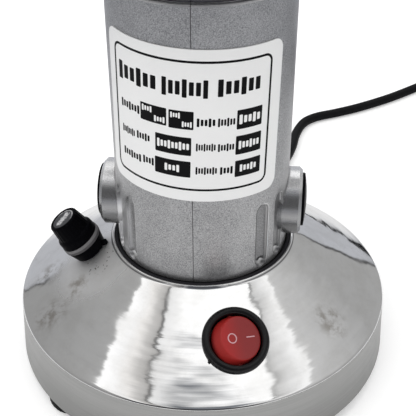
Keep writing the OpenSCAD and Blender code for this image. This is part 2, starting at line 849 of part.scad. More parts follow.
module fan() {
  vanes = 10;
  vane_t = 1.2;
  fan_r = fan_d / 2;
  color([0.12, 0.12, 0.13]) difference() {
    union() {
      rod(fan_r, fan_z0, fan_z0 + vane_t);
      rod(shaft_r + 3, fan_z0, fan_z1);
      intersection() {
        rod(fan_r, fan_z0, fan_z1);
        for (i = [0:vanes - 1]) rotate([0, 0, i * 360 / vanes])
          translate([-vane_t / 2, -fan_r, fan_z0]) cube([vane_t, fan_r - shaft_r - 2, fan_h]);
      }
    }
    rod(shaft_r + fit_gap, fan_z0 - over, fan_z1 + over);
  }
}

// Bowl, cradle and blades
module bowl_cradle() {
  top_z = seat_z + cradle_grip;
  inner_corner = bowl_corner + free_gap;
  inner_wall_r = bowl_r + free_gap;
  corner_x = inner_wall_r - inner_corner;
  corner_z = seat_z + bowl_corner;
  cup_z = corner_z - inner_corner - cradle_wall;
  pocket_z = seat_z - free_gap;
  pocket_r = bowl_screw_reach + 8;
  fillet = 2;
  color([0.66, 0.67, 0.69]) difference() {
    rotate_extrude($fn = 128) polygon(concat(
      [[seal_r + fit_gap, cradle_z0], [body_r - 1, cradle_z0]],
      arc(body_r - 1, cradle_z0 + 1, 1, -90, 0, 3),
      arc(body_r + fillet, cup_z - fillet, fillet, 180, 90, 4),
      arc(corner_x, corner_z, inner_corner + cradle_wall, -90, 0, 6),
      [[cradle_r, top_z], [inner_wall_r, top_z]],
      arc(corner_x, corner_z, inner_corner, 0, -90, 6),
      [[pocket_r, pocket_z], [pocket_r, seat_z], [seal_r + fit_gap, seat_z]]
    ));
    at_corners(bowl_screw_reach) rod(hole_r, cradle_z0 - over, seat_z + over);
  }
}

module bowl() {
  inner_r_bowl = bowl_r - bowl_sheet;
  inner_corner = bowl_corner - bowl_sheet;
  color("silver") difference() {
    rotate_extrude($fn = 128) polygon(concat(
      [[shaft_r + 1, seat_z]],
      arc(bowl_r - bowl_corner, seat_z + bowl_corner, bowl_corner, -90, 0, 6),
      [[bowl_r, bowl_rim_z - rim_t], [bowl_rim_r, bowl_rim_z - rim_t]],
      [[bowl_rim_r, bowl_rim_z], [inner_r_bowl, bowl_rim_z]],
      arc(inner_r_bowl - inner_corner, bowl_floor_z + inner_corner, inner_corner, 0, -90, 6),
      [[shaft_r + 1, bowl_floor_z]]
    ));
    at_corners(bowl_screw_reach) rod(hole_r, seat_z - over, bowl_floor_z + over);
  }
}

module bowl_screws() {
  color("gainsboro") at_corners(bowl_screw_reach) translate([0, 0, bowl_floor_z])
    rotate([180, 0, 0]) screw(bowl_sheet + cradle_floor + thread_l - 3);
}

module shaft_seal() {
  color([0.1, 0.1, 0.1]) tube(seal_r, shaft_r + free_gap, cradle_z0 + over, seat_z - over);
}

// A two-armed blade at height z, its tips bent up by an angle beyond bend_at
module blade(z, bend_at, bend, tip_w) {
  front = -blade_w * 0.36;
  back = blade_w * 0.3;
  tip_at = blade_reach - bend_at - 1;
  hinge_z = bend > 0 ? 0 : blade_t;
  color("lightgray") difference() {
    union() {
      rod(blade_w / 2, z, z + blade_t);
      for (turn = [0, 180]) rotate([0, 0, turn]) {
        translate([0, 0, z]) linear_extrude(blade_t)
          polygon([[0, -blade_w / 2], [bend_at, front], [bend_at, back], [0, blade_w / 2]]);
        translate([bend_at, 0, z + hinge_z]) rotate([0, -bend, 0]) translate([-0.3, 0, -hinge_z])
          linear_extrude(blade_t)
            polygon([[0, front], [tip_at, -tip_w / 2 - 1.2], [tip_at + 0.8, tip_w / 2], [0, back]]);
      }
    }
    rod(shaft_r + fit_gap, z - over, z + blade_t + over);
  }
}

module lower_blade() { blade(blade_z0, blade_reach * 0.62, -7, 7); }
module upper_blade() { rotate([0, 0, 90]) blade(upper_blade_z0, blade_reach * 0.5, 18, 6); }

module blade_spacer() {
  color("lightgray") tube(shaft_r + 3, shaft_r + fit_gap, spacer_z0, upper_blade_z0);
}

module blade_nut() {
  color("lightgray") translate([0, 0, nut_z0]) difference() {
    cylinder(r = 7.5, h = nut_h, $fn = 6);
    rod(shaft_r + fit_gap, -over, nut_h + over);
  }
}

// Lid
module lid() {
  lid_top = lid_under + lid_sheet;
  skirt_z = bowl_rim_z - lid_skirt;
  hub = 2;
  crown_r = 24;
  slope_w = 4;
  step = 1.6;
  color("silver") difference() {
    rotate_extrude($fn = 128) polygon(concat(
      [[lid_r, skirt_z]],
      arc(lid_r - lid_round, lid_top - lid_round, lid_round, 0, 90, 5),
      [[crown_r + slope_w, lid_top + step], [crown_r, lid_top + lid_crown], [hub, lid_top + lid_crown]],
      [[hub, lid_under + lid_crown], [crown_r - lid_sheet / 2, lid_under + lid_crown]],
      [[crown_r + slope_w - lid_sheet / 2, lid_under + step]],
      arc(lid_r - lid_round, lid_top - lid_round, lid_round - lid_sheet, 90, 0, 5),
      [[lid_inner_r, skirt_z]]
    ));
    rod(hole_r, lid_under, knob_z0 + over);
  }
}

module lid_gasket() {
  gasket_inner = bowl_r - 3.5;
  color([0.9, 0.9, 0.88]) tube(lid_r - lid_round - slide_gap, gasket_inner, gasket_z0, gasket_z0 + gasket_h);
}

module lid_knob() {
  neck = knob_r * 0.58;
  scallops = 8;
  scallop_r = 5;
  scallop_depth = 1.6;
  color([0.05, 0.05, 0.06]) difference() {
    rotate_extrude($fn = 96) polygon(concat(
      [[0, knob_z0], [neck + 3, knob_z0], [neck + 3, knob_z0 + 2]],
      [[neck, knob_z0 + 4.5], [neck, knob_z0 + knob_h * 0.36]],
      arc(knob_r - 3, knob_z0 + knob_h * 0.55, 3, -60, 0, 3),
      arc(knob_r - 5, knob_z0 + knob_h - 5, 5, 0, 80, 5),
      [[0, knob_z0 + knob_h]]
    ));
    for (i = [0:scallops - 1]) rotate([0, 0, (i + 0.5) * 360 / scallops])
      translate([knob_r + scallop_r - scallop_depth, 0, 0])
        rod(scallop_r, knob_z0 + 5, knob_z0 + knob_h + over);
    rod(thread_hole_r, knob_z0 - over, knob_z0 + knob_screw_l + over);
  }
}

module knob_screw() {
  color("gainsboro") translate([0, 0, knob_z0 - lid_sheet]) screw(lid_sheet + knob_screw_l);
}

// Switch
module switch_body() {
  face_z = bezel_h - 0.4;
  edge_r = 1.6;
  color([0.07, 0.07, 0.08]) on_cone(switch_az, switch_reach) difference() {
    union() {
      rotate_extrude($fn = 96) polygon(concat(
        [[0, seat_gap], [bezel_r, seat_gap]],
        arc(bezel_r - edge_r, bezel_h - edge_r, edge_r, 0, 90, 4),
        [[well_r, face_z], [0, face_z]]
      ));
      rod(barrel_r, -switch_depth, over);
      rotate([0, 0, nib_az]) translate([bezel_r - 1, -0.7, seat_gap]) cube([1.8, 1.4, 0.8]);
    }
    rod(well_r, -well_depth, bezel_h + over);
    rock_pin(pivot_r + pin_gap, well_r + 1);
  }
}

// The pin that the rocker turns on, across the switch
module rock_pin(r, reach) {
  translate([0, reach, pivot_z]) rotate([90, 0, 0]) cylinder(r = r, h = 2 * reach, $fn = 32);
}

module rocker() {
  color([0.75, 0.08, 0.08]) on_cone(switch_az, switch_reach) {
    translate([0, 0, pivot_z]) rotate([0, rocker_tilt, 0]) {
      rod(rocker_r, rocker_bottom - pivot_z, rocker_cone_z - pivot_z);
      translate([0, 0, rocker_cone_z - pivot_z])
        cylinder(r1 = rocker_r, r2 = rocker_r - 1, h = rocker_top - rocker_cone_z);
    }
    rock_pin(pivot_r, well_r + 0.7);
  }
}

// Push-on tabs under the switch and at the fuse holder
module terminal_tabs() {
  color("goldenrod") {
    on_cone(switch_az, switch_reach) for (x = [-barrel_r / 2, 0, barrel_r / 2])
      translate([x - tab_blade[0] / 2, -tab_blade[1] / 2, -switch_depth - tab_blade[2]]) cube(tab_blade);
    on_cone(fuse_az, fuse_reach) {
      translate([-tab_blade[0] / 2, -2, -fuse_depth - 6]) cube([tab_blade[0], 4, 6]);
      translate([fuse_barrel_r, -2, -fuse_depth + 4]) cube([5, 4, tab_blade[0]]);
    }
  }
}

// Fuse holder
module fuse_holder() {
  color([0.07, 0.07, 0.08]) on_cone(fuse_az, fuse_reach) difference() {
    union() {
      rod(fuse_barrel_r, -fuse_depth, over);
      translate([0, 0, seat_gap]) cylinder(r1 = flange_r - 0.75, r2 = flange_r, h = flange_h - seat_gap);
      rotate([0, 0, fuse_tab_az]) translate([flange_r - 1, -0.9, seat_gap]) cube([2.2, 1.8, 1.6]);
    }
    rod(cap_plug_r + pin_gap, fuse_z0 - over, flange_h + over);
    rod(1.6, -fuse_depth - over, fuse_z0);
  }
}

// The nut stays clear of the sheet, which falls away from a flat face by sag
module fuse_nut() {
  nut_out = 7.4;
  nut_t = 3.2;
  sag = pow(nut_out, 2) * sin(cone_slope) / (2 * fuse_reach);
  nut_top = -dish_sheet - sag - slide_gap;
  color("dimgray") on_cone(fuse_az, fuse_reach) difference() {
    translate([0, 0, nut_top - nut_t]) cylinder(r = nut_out, h = nut_t, $fn = 6);
    rod(fuse_barrel_r + fit_gap, nut_top - nut_t - over, nut_top + over);
  }
}

module fuse_washer() {
  color("gray") on_cone(fuse_az, fuse_reach)
    tube(washer_d / 2, cap_plug_r + pin_gap + 0.4, flange_h, cap_z0 - slide_gap);
}

module fuse_cap() {
  skirt_r = flange_r + 0.1;
  skirt_top = 3.1;
  grip_r = fuse_barrel_r + 1.1;
  top_r = fuse_barrel_r + 0.3;
  top_round = 0.5;
  ribs = 12;
  color([0.05, 0.05, 0.06]) on_cone(fuse_az, fuse_reach) difference() {
    union() {
      translate([0, 0, cap_z0]) rotate_extrude() polygon(concat(
        [[0, 0], [skirt_r, 0], [skirt_r - 0.15, skirt_top], [grip_r, skirt_top + 0.8]],
        arc(top_r - top_round, fuse_cap_h - top_round, top_round, 10, 90, 3),
        [[0, fuse_cap_h]]
      ));
      rod(cap_plug_r, cap_z0 - cap_plug_l, cap_z0 + over);
    }
    rod(fuse_r + pin_gap, cap_z0 - cap_plug_l - over, cap_z0 - fuse_hold + seat_gap);
    for (i = [0:ribs - 1]) rotate([0, 0, i * 360 / ribs]) translate([grip_r + 0.35, 0, cap_z0 + skirt_top])
      rotate([0, -7, 0]) rod(0.7, 0, fuse_cap_h);
  }
}

module glass_fuse() {
  color([0.8, 0.85, 0.85, 0.6]) on_cone(fuse_az, fuse_reach) rod(fuse_r, fuse_z0, fuse_z0 + fuse_l);
}

// Wiring in the base
module terminal_block() {
  corner = [block_at[0] - block_size[0] / 2, block_at[1] - block_size[1] / 2, bottom_top];
  color("ivory") translate(corner) difference() {
    cube(block_size);
    for (i = [-1:1]) translate([block_size[0] / 2 + i * block_pitch, 0, 0]) {
      translate([0, -over, wire_h]) rotate([-90, 0, 0]) cylinder(r = 1.4, h = block_size[1] + 2 * over);
      translate([0, block_size[1] / 2, wire_h + over]) cylinder(r = 1.6, h = block_size[2]);
    }
  }
}

module suppressor() {
  corner = [for (i = [0, 1]) suppressor_at[i] - suppressor_size[i] / 2];
  color("royalblue") translate([corner[0], corner[1], bottom_top]) cube(suppressor_size);
}

// Motor leads: out of the block, up through an air hole and on to the field coils
module inner_leads() {
  hole_z = bottom_top + wire_h;
  front_y = block_at[1] - block_size[1] / 2;
  vent_x = vent_reach * sin(22.5);
  vent_y = vent_reach * cos(22.5);
  end_z = core_z0 - coil_overhang;
  coil_mid = coil_r0 + coil_t / 2;
  end_y = coil_half - coil_t / 2;
  end_x = sqrt(pow(coil_mid, 2) - pow(end_y, 2));
  for (side = [-1, 1]) color(side < 0 ? "saddlebrown" : "steelblue") scale([side, 1, 1]) swept(eased([
    [block_pitch, front_y + 4, hole_z], [block_pitch, front_y - 2, hole_z], [8, front_y - 9, hole_z + 4],
    [vent_x, vent_y + 2, mount_under - 20], [vent_x, vent_y, mount_under - 10],
    [vent_x, vent_y, house_z0 + 6],
    [8.5, vent_y - 1, end_z - 18], [end_x, end_y, end_z - 7], [end_x, end_y, end_z - fit_gap]
  ], 3), lead_r, 6, [1, 0, 0]);
}

// Cord, coil and plug

// Z along the cord's way out, zero at the strain relief's outer end
module cord_axis() {
  rotate([0, 0, exit_az]) translate([0, -exit_reach, cord_exit[2]]) rotate([90, 0, 0]) children();
}

module strain_relief() {
  wall_z = wall_r(cord_exit[2]) - exit_reach;
  flange_r = relief_r + 2.4;
  flange_t = 3;
  color([0.06, 0.06, 0.07]) cord_axis() difference() {
    union() {
      rod(relief_r, wall_z - 8, wall_z + over);
      rod(flange_r, wall_z + 0.4, wall_z + 0.4 + flange_t);
      translate([0, 0, wall_z + flange_t])
        cylinder(r1 = relief_r + 0.6, r2 = cord_r + 0.9, h = -wall_z - flange_t);
      rod(relief_r + 1.2, wall_z - 4.5, wall_z - dish_sheet - 0.4);
    }
    for (i = [0:2]) translate([0, 0, wall_z + 5 + i * 3]) tube(relief_r + 4, cord_r + 0.7, 0, 1);
  }
}

// Catmull-Rom curve through points, with steps pieces between two of them
function blend(a, b, c, d, t) =
  b + 0.5 * t * (c - a + t * (2 * a - 5 * b + 4 * c - d + t * (3 * b - a - 3 * c + d)));
function smooth(p, steps) = concat([for (i = [0:len(p) - 2], k = [0:steps - 1])
  blend(p[max(i - 1, 0)], p[i], p[i + 1], p[min(i + 2, len(p) - 1)], k / steps)], [p[len(p) - 1]]);

// The same, with its first and last stretches straight
function eased(p, steps) = concat([p[0]], smooth([for (i = [1:len(p) - 2]) p[i]], steps), [p[len(p) - 1]]);

module cord() { color([0.05, 0.05, 0.06]) swept(eased(cord_points, 2), cord_r, 8); }
module cord_tail() { color([0.05, 0.05, 0.06]) swept(tail_points, cord_r, 8); }

// The coil's centre line: in by coil_loops turns, up a layer over half a turn, and out again,
// turning clockwise from the top of the ring, with a straight stretch at both ends
loop_rings = 24;
coil_turns = 2 * coil_loops + 0.5;
function coil_point(turn) =
  let (half = coil_turns / 2,
       rise = min(1, max(0, (turn - coil_loops) / 0.5)),
       r = coil_r - coil_pitch * (half - abs(turn - half)),
       a = 90 - 360 * turn)
  [coil_centre[0] + r * cos(a), coil_centre[1] + r * sin(a),
    cord_r + coil_climb * rise * rise * (3 - 2 * rise)];
function coil_points() = concat(
  [coil_point(0) - [cord_d, 0, 0]],
  [for (i = [0:coil_turns * loop_rings]) coil_point(i / loop_rings)],
  [coil_point(coil_turns) - [0, cord_d, 0]]
);
coil_path = coil_points();
coil_last = len(coil_path) - 1;
coil_gaps = [for (i = [0:coil_last], j = [i + 12:1:coil_last]) norm(coil_path[i] - coil_path[j])];
coil_gap = min(coil_gaps) - cord_d;
echo(least_gap_in_coil = coil_gap);
module cord_coil() { color([0.05, 0.05, 0.06]) swept(coil_path, cord_r, 6); }

module plug() {
  side_r = plug_t / 2;
  side_x = plug_w / 2 - side_r;
  neck_l = 16;
  color([0.06, 0.06, 0.07]) translate(plug_at) rotate([90, 0, 0]) difference() {
    union() {
      cylinder(r1 = cord_r + 1.2, r2 = cord_r + 2.6, h = neck_l);
      hull() {
        for (x = [-5, 5]) translate([x, 0, neck_l - 3]) cylinder(r = 5, h = 2, $fn = 32);
        for (x = [-side_x, side_x]) translate([x, 0, plug_shoulder])
          cylinder(r = side_r, h = plug_l - plug_shoulder, $fn = 32);
      }
    }
    at_pins() cylinder(r = pin_r + fit_gap, h = pin_embed + over, $fn = 32);
  }
}

// Puts its children at the inner end of each pin
module at_pins() {
  for (x = [-pin_reach, pin_reach]) translate([x, 0, plug_l - pin_embed]) children();
}

module plug_pins() {
  pin_l = pin_embed + pin_out;
  color("gainsboro") translate(plug_at) rotate([90, 0, 0]) at_pins() {
    cylinder(r = pin_r, h = pin_l, $fn = 32);
    translate([0, 0, pin_l]) cylinder(r1 = pin_r, r2 = pin_r - 1, h = 1, $fn = 32);
  }
}

base_dish();
bottom_plate();
mount_plate();
pillars();
base_screws();
foot_front_right();
foot_rear_right();
foot_rear_left();
foot_front_left();
neck_ring();
housing_left();
housing_right();
housing_screws();
label_plate();
brush_holder_left();
brush_holder_right();
brush_caps();
brush_left();
brush_right();
brush_spring_left();
brush_spring_right();
stator_core();
field_coil_left();
field_coil_right();
bearing_outer_rings();
bearing_inner_rings();
shaft();
rotor_core();
rotor_winding();
commutator();
fan();
bowl_cradle();
bowl();
bowl_screws();
shaft_seal();
lower_blade();
blade_spacer();
upper_blade();
blade_nut();
lid();
lid_gasket();
lid_knob();
knob_screw();
switch_body();
rocker();
terminal_tabs();
fuse_holder();
fuse_nut();
fuse_washer();
fuse_cap();
glass_fuse();
terminal_block();
suppressor();
inner_leads();
strain_relief();
cord();
cord_coil();
cord_tail();
plug();
plug_pins();
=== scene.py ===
# Stand-type coffee and spice grinder: camera, light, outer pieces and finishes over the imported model.
# Lengths in the dictionaries are millimetres, and a mesh gets them in metres.
import math

import bpy
import numpy as np
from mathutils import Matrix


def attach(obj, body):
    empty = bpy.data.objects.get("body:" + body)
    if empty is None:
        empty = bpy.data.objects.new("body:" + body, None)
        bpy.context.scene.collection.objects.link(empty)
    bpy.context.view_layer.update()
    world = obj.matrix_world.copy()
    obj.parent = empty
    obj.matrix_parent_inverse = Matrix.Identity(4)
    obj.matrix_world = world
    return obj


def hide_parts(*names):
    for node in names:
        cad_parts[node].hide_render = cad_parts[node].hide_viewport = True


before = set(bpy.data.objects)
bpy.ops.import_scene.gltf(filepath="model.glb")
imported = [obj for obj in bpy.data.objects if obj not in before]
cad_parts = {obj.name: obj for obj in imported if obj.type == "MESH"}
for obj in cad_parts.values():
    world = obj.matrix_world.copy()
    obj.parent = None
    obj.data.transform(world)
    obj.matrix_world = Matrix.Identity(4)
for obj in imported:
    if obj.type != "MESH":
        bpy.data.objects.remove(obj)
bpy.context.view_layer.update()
mm = 0.001
print("frame loaded with", len(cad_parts), "nodes")


# Adds an object with the given data to the scene.
def addObject(name, data):
    item = bpy.data.objects.new(name, data)
    bpy.context.scene.collection.objects.link(item)
    return item


# The values of a dictionary for a line of keys.
def pick(size, keys):
    return [size[key] for key in keys.split()]


# Camera: the photograph's place and direction
cameraView = {"place": (29.28, -278.60, 249.34), "down": 34.1621, "turn": 5.5746, "lens": 78.47}


def makeCamera(view):
    data = bpy.data.cameras.new("photo_camera")
    data.lens, data.sensor_width = view["lens"], 36
    data.clip_start, data.clip_end = 0.01, 50
    camera = addObject("photo_camera", data)
    camera.location = [value * mm for value in view["place"]]
    camera.rotation_euler = (math.radians(90 - view["down"]), 0, math.radians(view["turn"]))
    bpy.context.scene.camera = camera


makeCamera(cameraView)
print("camera set")


# Shapes. A shell is an array of points and a list of face arrays.
sharpAngle = 38  # degrees past which an edge shades sharp


# Grid of points to quads: columns always wrap, rows where asked, and an end point closes its row with a fan.
def shellOf(grid, wrapRows=False, ends=(None, None)):
    rows, columns = grid.shape[:2]
    points = grid.reshape(-1, 3)
    r = np.arange(rows if wrapRows else rows - 1)[:, None]
    c = np.arange(columns)[None, :]
    here, there, nextC = r * columns, (r + 1) % rows * columns, (c + 1) % columns
    faces = [np.stack([here + c, here + nextC, there + nextC, there + c], axis=2).reshape(-1, 4)]
    for row, end in ((0, ends[0]), (rows - 1, ends[1])):
        if end is not None:
            ring = row * columns + np.arange(columns)
            pole = np.full(columns, len(points))
            turned = np.roll(ring, -1)
            fan = [pole, turned, ring] if row == 0 else [pole, ring, turned]
            points = np.vstack([points, np.asarray(end, float)[None]])
            faces.append(np.stack(fan, axis=1))
    return points, faces


# A profile with each corner replaced by a quadratic curve: (1-t)^2 a + 2t(1-t) corner + t^2 b.
def rounded(corners, closed=False, steps=5):
    corners = np.asarray(corners, float)
    p, size = corners[:, :2], corners[:, 2]
    before, after = np.roll(p, 1, axis=0) - p, np.roll(p, -1, axis=0) - p
    lengthB, lengthA = np.linalg.norm(before, axis=1), np.linalg.norm(after, axis=1)
    cut = np.minimum(size, 0.45 * np.minimum(lengthB, lengthA))[:, None]
    a, b = p + before / lengthB[:, None] * cut, p + after / lengthA[:, None] * cut
    t = np.linspace(0, 1, steps + 1)[None, :, None]
    curve = (1 - t) ** 2 * a[:, None] + 2 * t * (1 - t) * p[:, None] + t ** 2 * b[:, None]
    if closed:
        return curve.reshape(-1, 2)
    return np.vstack([p[:1], curve[1:-1].reshape(-1, 2), p[-1:]])


# The same profile with a point close to both ends of each long stretch, so that flats shade flat.
def braced(profile, brace=0.3, closed=False):
    start = profile if closed else profile[:-1]
    run = (np.roll(profile, -1, axis=0) if closed else profile[1:]) - (profile if closed else profile[:-1])
    length = np.linalg.norm(run, axis=1)
    long = length > 3 * brace
    near = brace / np.maximum(length, 1e-6)
    t = np.stack([0 * near, near, 1 - near], axis=1)
    keep = np.stack([length > 1e-6, long, long], axis=1)
    points = (start[:, None] + t[..., None] * run[:, None])[keep]
    return points if closed else np.vstack([points, profile[-1:]])


# Radii and heights turned about the axis: x = r sin a, y = -r cos a, z = h. Ends on the axis become poles.
def revolve(profile, steps=160, closed=False, wave=None):
    r, h = profile[:, 0], profile[:, 1]
    ends = [None, None]
    if not closed:
        ends = [(0, 0, h[0]), (0, 0, h[-1])]
        keep = np.ones(len(r), bool)
        keep[0], keep[-1] = r[0] > 1e-6, r[-1] > 1e-6
        r, h = r[keep], h[keep]
    a = np.linspace(0, 2 * math.pi, steps, endpoint=False)[None, :]
    radius = r[:, None] + (wave(a, r[:, None], h[:, None]) if wave else 0 * a)
    grid = np.stack([radius * np.sin(a), -radius * np.cos(a), h[:, None] + 0 * a], axis=2)
    return shellOf(grid, wrapRows=closed, ends=ends)


# A rounded, braced profile turned about the axis, and set on a seat where it has one.
def lathe(corners, steps, brace=0.2, closed=False, curve=5, wave=None, seat=None):
    profile = braced(rounded(corners, closed, curve), brace, closed)
    shell = revolve(profile, steps, closed, wave)
    return placed(shell, *seat) if seat else shell


# A plain round rod about the axis, from low to high.
def rod(radius, low, high, steps=64):
    return revolve(np.array([(0, low), (radius, low), (radius, high), (0, high)], float), steps)


# A ring of outline points carried along Z through (inset, height) steps; flat ends.
def extrude(outline, steps):
    outline = np.asarray(outline, float)
    middle = outline.mean(axis=0)
    reach = np.linalg.norm(outline - middle, axis=1, keepdims=True)
    rows = [np.hstack([middle + (outline - middle) * (1 - inset / reach), np.full((len(outline), 1), z)])
            for inset, z in steps]
    return shellOf(np.stack(rows), ends=((*middle, steps[0][1]), (*middle, steps[-1][1])))


# A closed band: each point of the path plus the section's two measures along across and up.
def bandOf(path, section, across, up):
    return path[:, None] + section[None, :, :1] * across + section[None, :, 1:] * up


# A rectangle with round corners: four quarter circles joined, centre + radius (cos, sin).
def roundedBox(width, height, corner, steps=6):
    a = np.radians(np.linspace(0, 90, steps + 1)[None, :] + np.array([0, 90, 180, 270])[:, None])
    signs = np.array([[1, 1], [-1, 1], [-1, -1], [1, -1]])
    centres = signs * np.array([width / 2 - corner, height / 2 - corner])
    return (centres[:, None] + corner * np.stack([np.cos(a), np.sin(a)], axis=2)).reshape(-1, 2)


# A closed shell from a front and a back grid: each row runs over the front and home along the back.
def plateOf(front, back):
    loop = np.concatenate([front, back[:, ::-1]], axis=1)
    points, faces = shellOf(loop)
    rows, columns = front.shape[:2]
    c = np.arange(columns - 1)
    last = (rows - 1) * 2 * columns
    home = 2 * columns - 1 - c
    faces.append(np.stack([c, home, home - 1, c + 1], axis=1))
    faces.append(np.stack([c, c + 1, home - 1, home], axis=1) + last)
    return points, faces


# A ring of the given radius carried along a path, its frame handed on from point to point.
def tube(path, radius, sides):
    along = np.gradient(path, axis=0)
    along /= np.linalg.norm(along, axis=1, keepdims=True)
    normals = np.empty_like(path)
    normal = np.cross(along[0], (0.31, 0.11, 0.94))
    for i, direction in enumerate(along):
        normal = normal - direction * np.dot(normal, direction)
        normal /= np.linalg.norm(normal)
        normals[i] = normal
    others = np.cross(along, normals)
    a = np.linspace(0, 2 * math.pi, sides, endpoint=False)[None, :, None]
    grid = path[:, None] + radius * (np.cos(a) * normals[:, None] + np.sin(a) * others[:, None])
    return shellOf(grid, ends=(path[0], path[-1]))


def moved(shell, offset):
    return shell[0] + np.asarray(offset, float), shell[1]


# Turns a shell by a 3 by 3 basis (its rows are the new X, Y and Z) and moves it.
def placed(shell, origin, basis):
    return moved((shell[0] @ np.asarray(basis, float), shell[1]), origin)


# Rotation about Z and the frame of a seat on the cone: Z along the outward normal, Y up the slope.
def turned(angle):
    a = math.radians(angle)
    return np.array([[math.cos(a), math.sin(a), 0], [-math.sin(a), math.cos(a), 0], [0, 0, 1]])


def coneSeat(azimuth, reach):
    slope = math.radians(dish["slope"])
    cos, sin = math.cos(slope), math.sin(slope)
    tilt = np.array([[1, 0, 0], [0, cos, sin], [0, -sin, cos]])
    turn = turned(azimuth)
    origin = np.array([0, -reach, coneHeight(reach)]) @ turn
    return origin, tilt @ turn


def coneHeight(reach):
    return dish["rimHeight"] + (dish["radius"] - reach) * math.tan(math.radians(dish["slope"]))


# Six times the volume of a shell, from its triangles; negative where it is inside out.
def signedVolume(points, faces):
    total = 0
    for face in faces:
        corners = points[face]
        for k in range(1, face.shape[1] - 1):
            total += np.einsum("ij,ij->", corners[:, 0], np.cross(corners[:, k], corners[:, k + 1]))
    return total


def makeMesh(name, shells, sharp=sharpAngle):
    points, loops, counts, offset = [], [], [], 0
    for shellPoints, faces in shells:
        inside = signedVolume(shellPoints, faces) < 0
        for face in faces:
            loops.append(((face[:, ::-1] if inside else face) + offset).ravel())
            counts.append(np.full(len(face), face.shape[1]))
        points.append(shellPoints)
        offset += len(shellPoints)
    points = np.vstack(points) * mm
    loops, counts = np.concatenate(loops), np.concatenate(counts)
    starts = np.cumsum(counts) - counts
    mesh = bpy.data.meshes.new(name)
    mesh.vertices.add(len(points))
    mesh.vertices.foreach_set("co", points.astype(np.float32).ravel())
    mesh.loops.add(len(loops))
    mesh.loops.foreach_set("vertex_index", loops.astype(np.int32))
    mesh.polygons.add(len(counts))
    mesh.polygons.foreach_set("loop_start", starts.astype(np.int32))
    mesh.update(calc_edges=True)
    mesh.validate()
    mesh.shade_smooth()
    mesh.set_sharp_from_angle(angle=math.radians(sharp))
    return mesh


# A piece of one or more shells, with its body, its finish and the nodes that it stands for.
def addPiece(name, shells, body, finish, instead=(), sharp=sharpAngle):
    piece = addObject(name, makeMesh(name, shells, sharp))
    piece.data.materials.append(finishes[finish])
    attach(piece, body)
    if instead:
        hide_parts(*instead)
    return piece


# Cuts closed shells out of a piece, and keeps the result as its mesh.
def cutOut(piece, shells):
    cutter = addObject("cutter", makeMesh("cutter", shells))
    cut = piece.modifiers.new("cut", "BOOLEAN")
    cut.operation, cut.solver, cut.object = "DIFFERENCE", "EXACT", cutter
    graph = bpy.context.evaluated_depsgraph_get()
    mesh = bpy.data.meshes.new_from_object(piece.evaluated_get(graph))
    piece.modifiers.clear()
    piece.data = mesh
    mesh.set_sharp_from_angle(angle=math.radians(sharpAngle))
    bpy.data.objects.remove(cutter)


# Shader sockets
class Socket:
    # A shader socket that takes part in sums and comparisons, each of which adds a Math node.
    def __init__(self, tree, socket):
        self.tree = tree
        self.socket = socket

    # Adds a node of a type: its settings come first, then the values or links of its sockets.
    def make(self, kind, settings=None, feeds=None, out=0):
        node = self.tree.nodes.new(kind)
        for name, value in (settings or {}).items():
            if name == "stops":
                ramp = node.color_ramp.elements
                ramp[0].position, ramp[-1].position = value[0][0], value[-1][0]
                for position, _ in value[1:-1]:
                    ramp.new(position)
                for stop, (_, colour) in zip(ramp, value):
                    stop.color = (*colour, 1)
            else:
                setattr(node, name, value)
        for key, value in (feeds or {}).items():
            if isinstance(value, Socket):
                self.tree.links.new(value.socket, node.inputs[key])
            else:
                node.inputs[key].default_value = value
        return Socket(self.tree, node.outputs[out])

    def math(self, operation, *others):
        return self.make("ShaderNodeMath", {"operation": operation}, dict(enumerate((self, *others))))

    def __add__(self, other):
        return self.math("ADD", other)

    def __radd__(self, other):
        return self + other

    def __sub__(self, other):
        return self.math("SUBTRACT", other)

    def __rsub__(self, other):
        return self * -1 + other

    def __mul__(self, other):
        return self.math("MULTIPLY", other)

    def __rmul__(self, other):
        return self * other

    def __truediv__(self, other):
        return self.math("DIVIDE", other)

    def __lt__(self, other):
        return self.math("LESS_THAN", other)

    def __abs__(self):
        return self.math("ABSOLUTE")

    # The root of the sum of the two squares.
    def hypot(self, other):
        return (self * self + other * other).math("SQRT")

    # The angle whose tangent is this socket over the other.
    def degrees(self, other):
        return self.math("ARCTAN2", other) * (180 / math.pi)

    # 0 below low, 1 above high, smooth between.
    def rise(self, low, high):
        feeds = {0: self, 1: low, 2: high}
        return self.make("ShaderNodeMapRange", {"interpolation_type": "SMOOTHSTEP"}, feeds)

    # 1 between two rises, 0 outside them.
    def within(self, up, down):
        return self.rise(*up) * self.rise(*down)

    # Colour or value low where this socket is 0, and high where it is 1.
    def mix(self, low, high):
        low, high = [(*side, 1) if isinstance(side, tuple) else side for side in (low, high)]
        return self.make("ShaderNodeMix", {"data_type": "RGBA"}, {0: self, 6: low, 7: high}, 2)

    def split(self):
        return [self.make("ShaderNodeSeparateXYZ", None, {0: self}, out) for out in range(3)]

    def join(self, x, y, z):
        return self.make("ShaderNodeCombineXYZ", None, {0: x, 1: y, 2: z})

    def noise(self, scale, detail=3, rough=0.55, twist=0):
        feeds = {"Vector": self, "Scale": scale, "Detail": detail, "Roughness": rough, "Distortion": twist}
        return self.make("ShaderNodeTexNoise", None, feeds)

    def cells(self, scale):
        return self.make("ShaderNodeTexVoronoi", {"feature": "F1"}, {"Vector": self, "Scale": scale})

    def scaled(self, x, y, z):
        return self.make("ShaderNodeVectorMath", {"operation": "MULTIPLY"}, {0: self, 1: (x, y, z)})


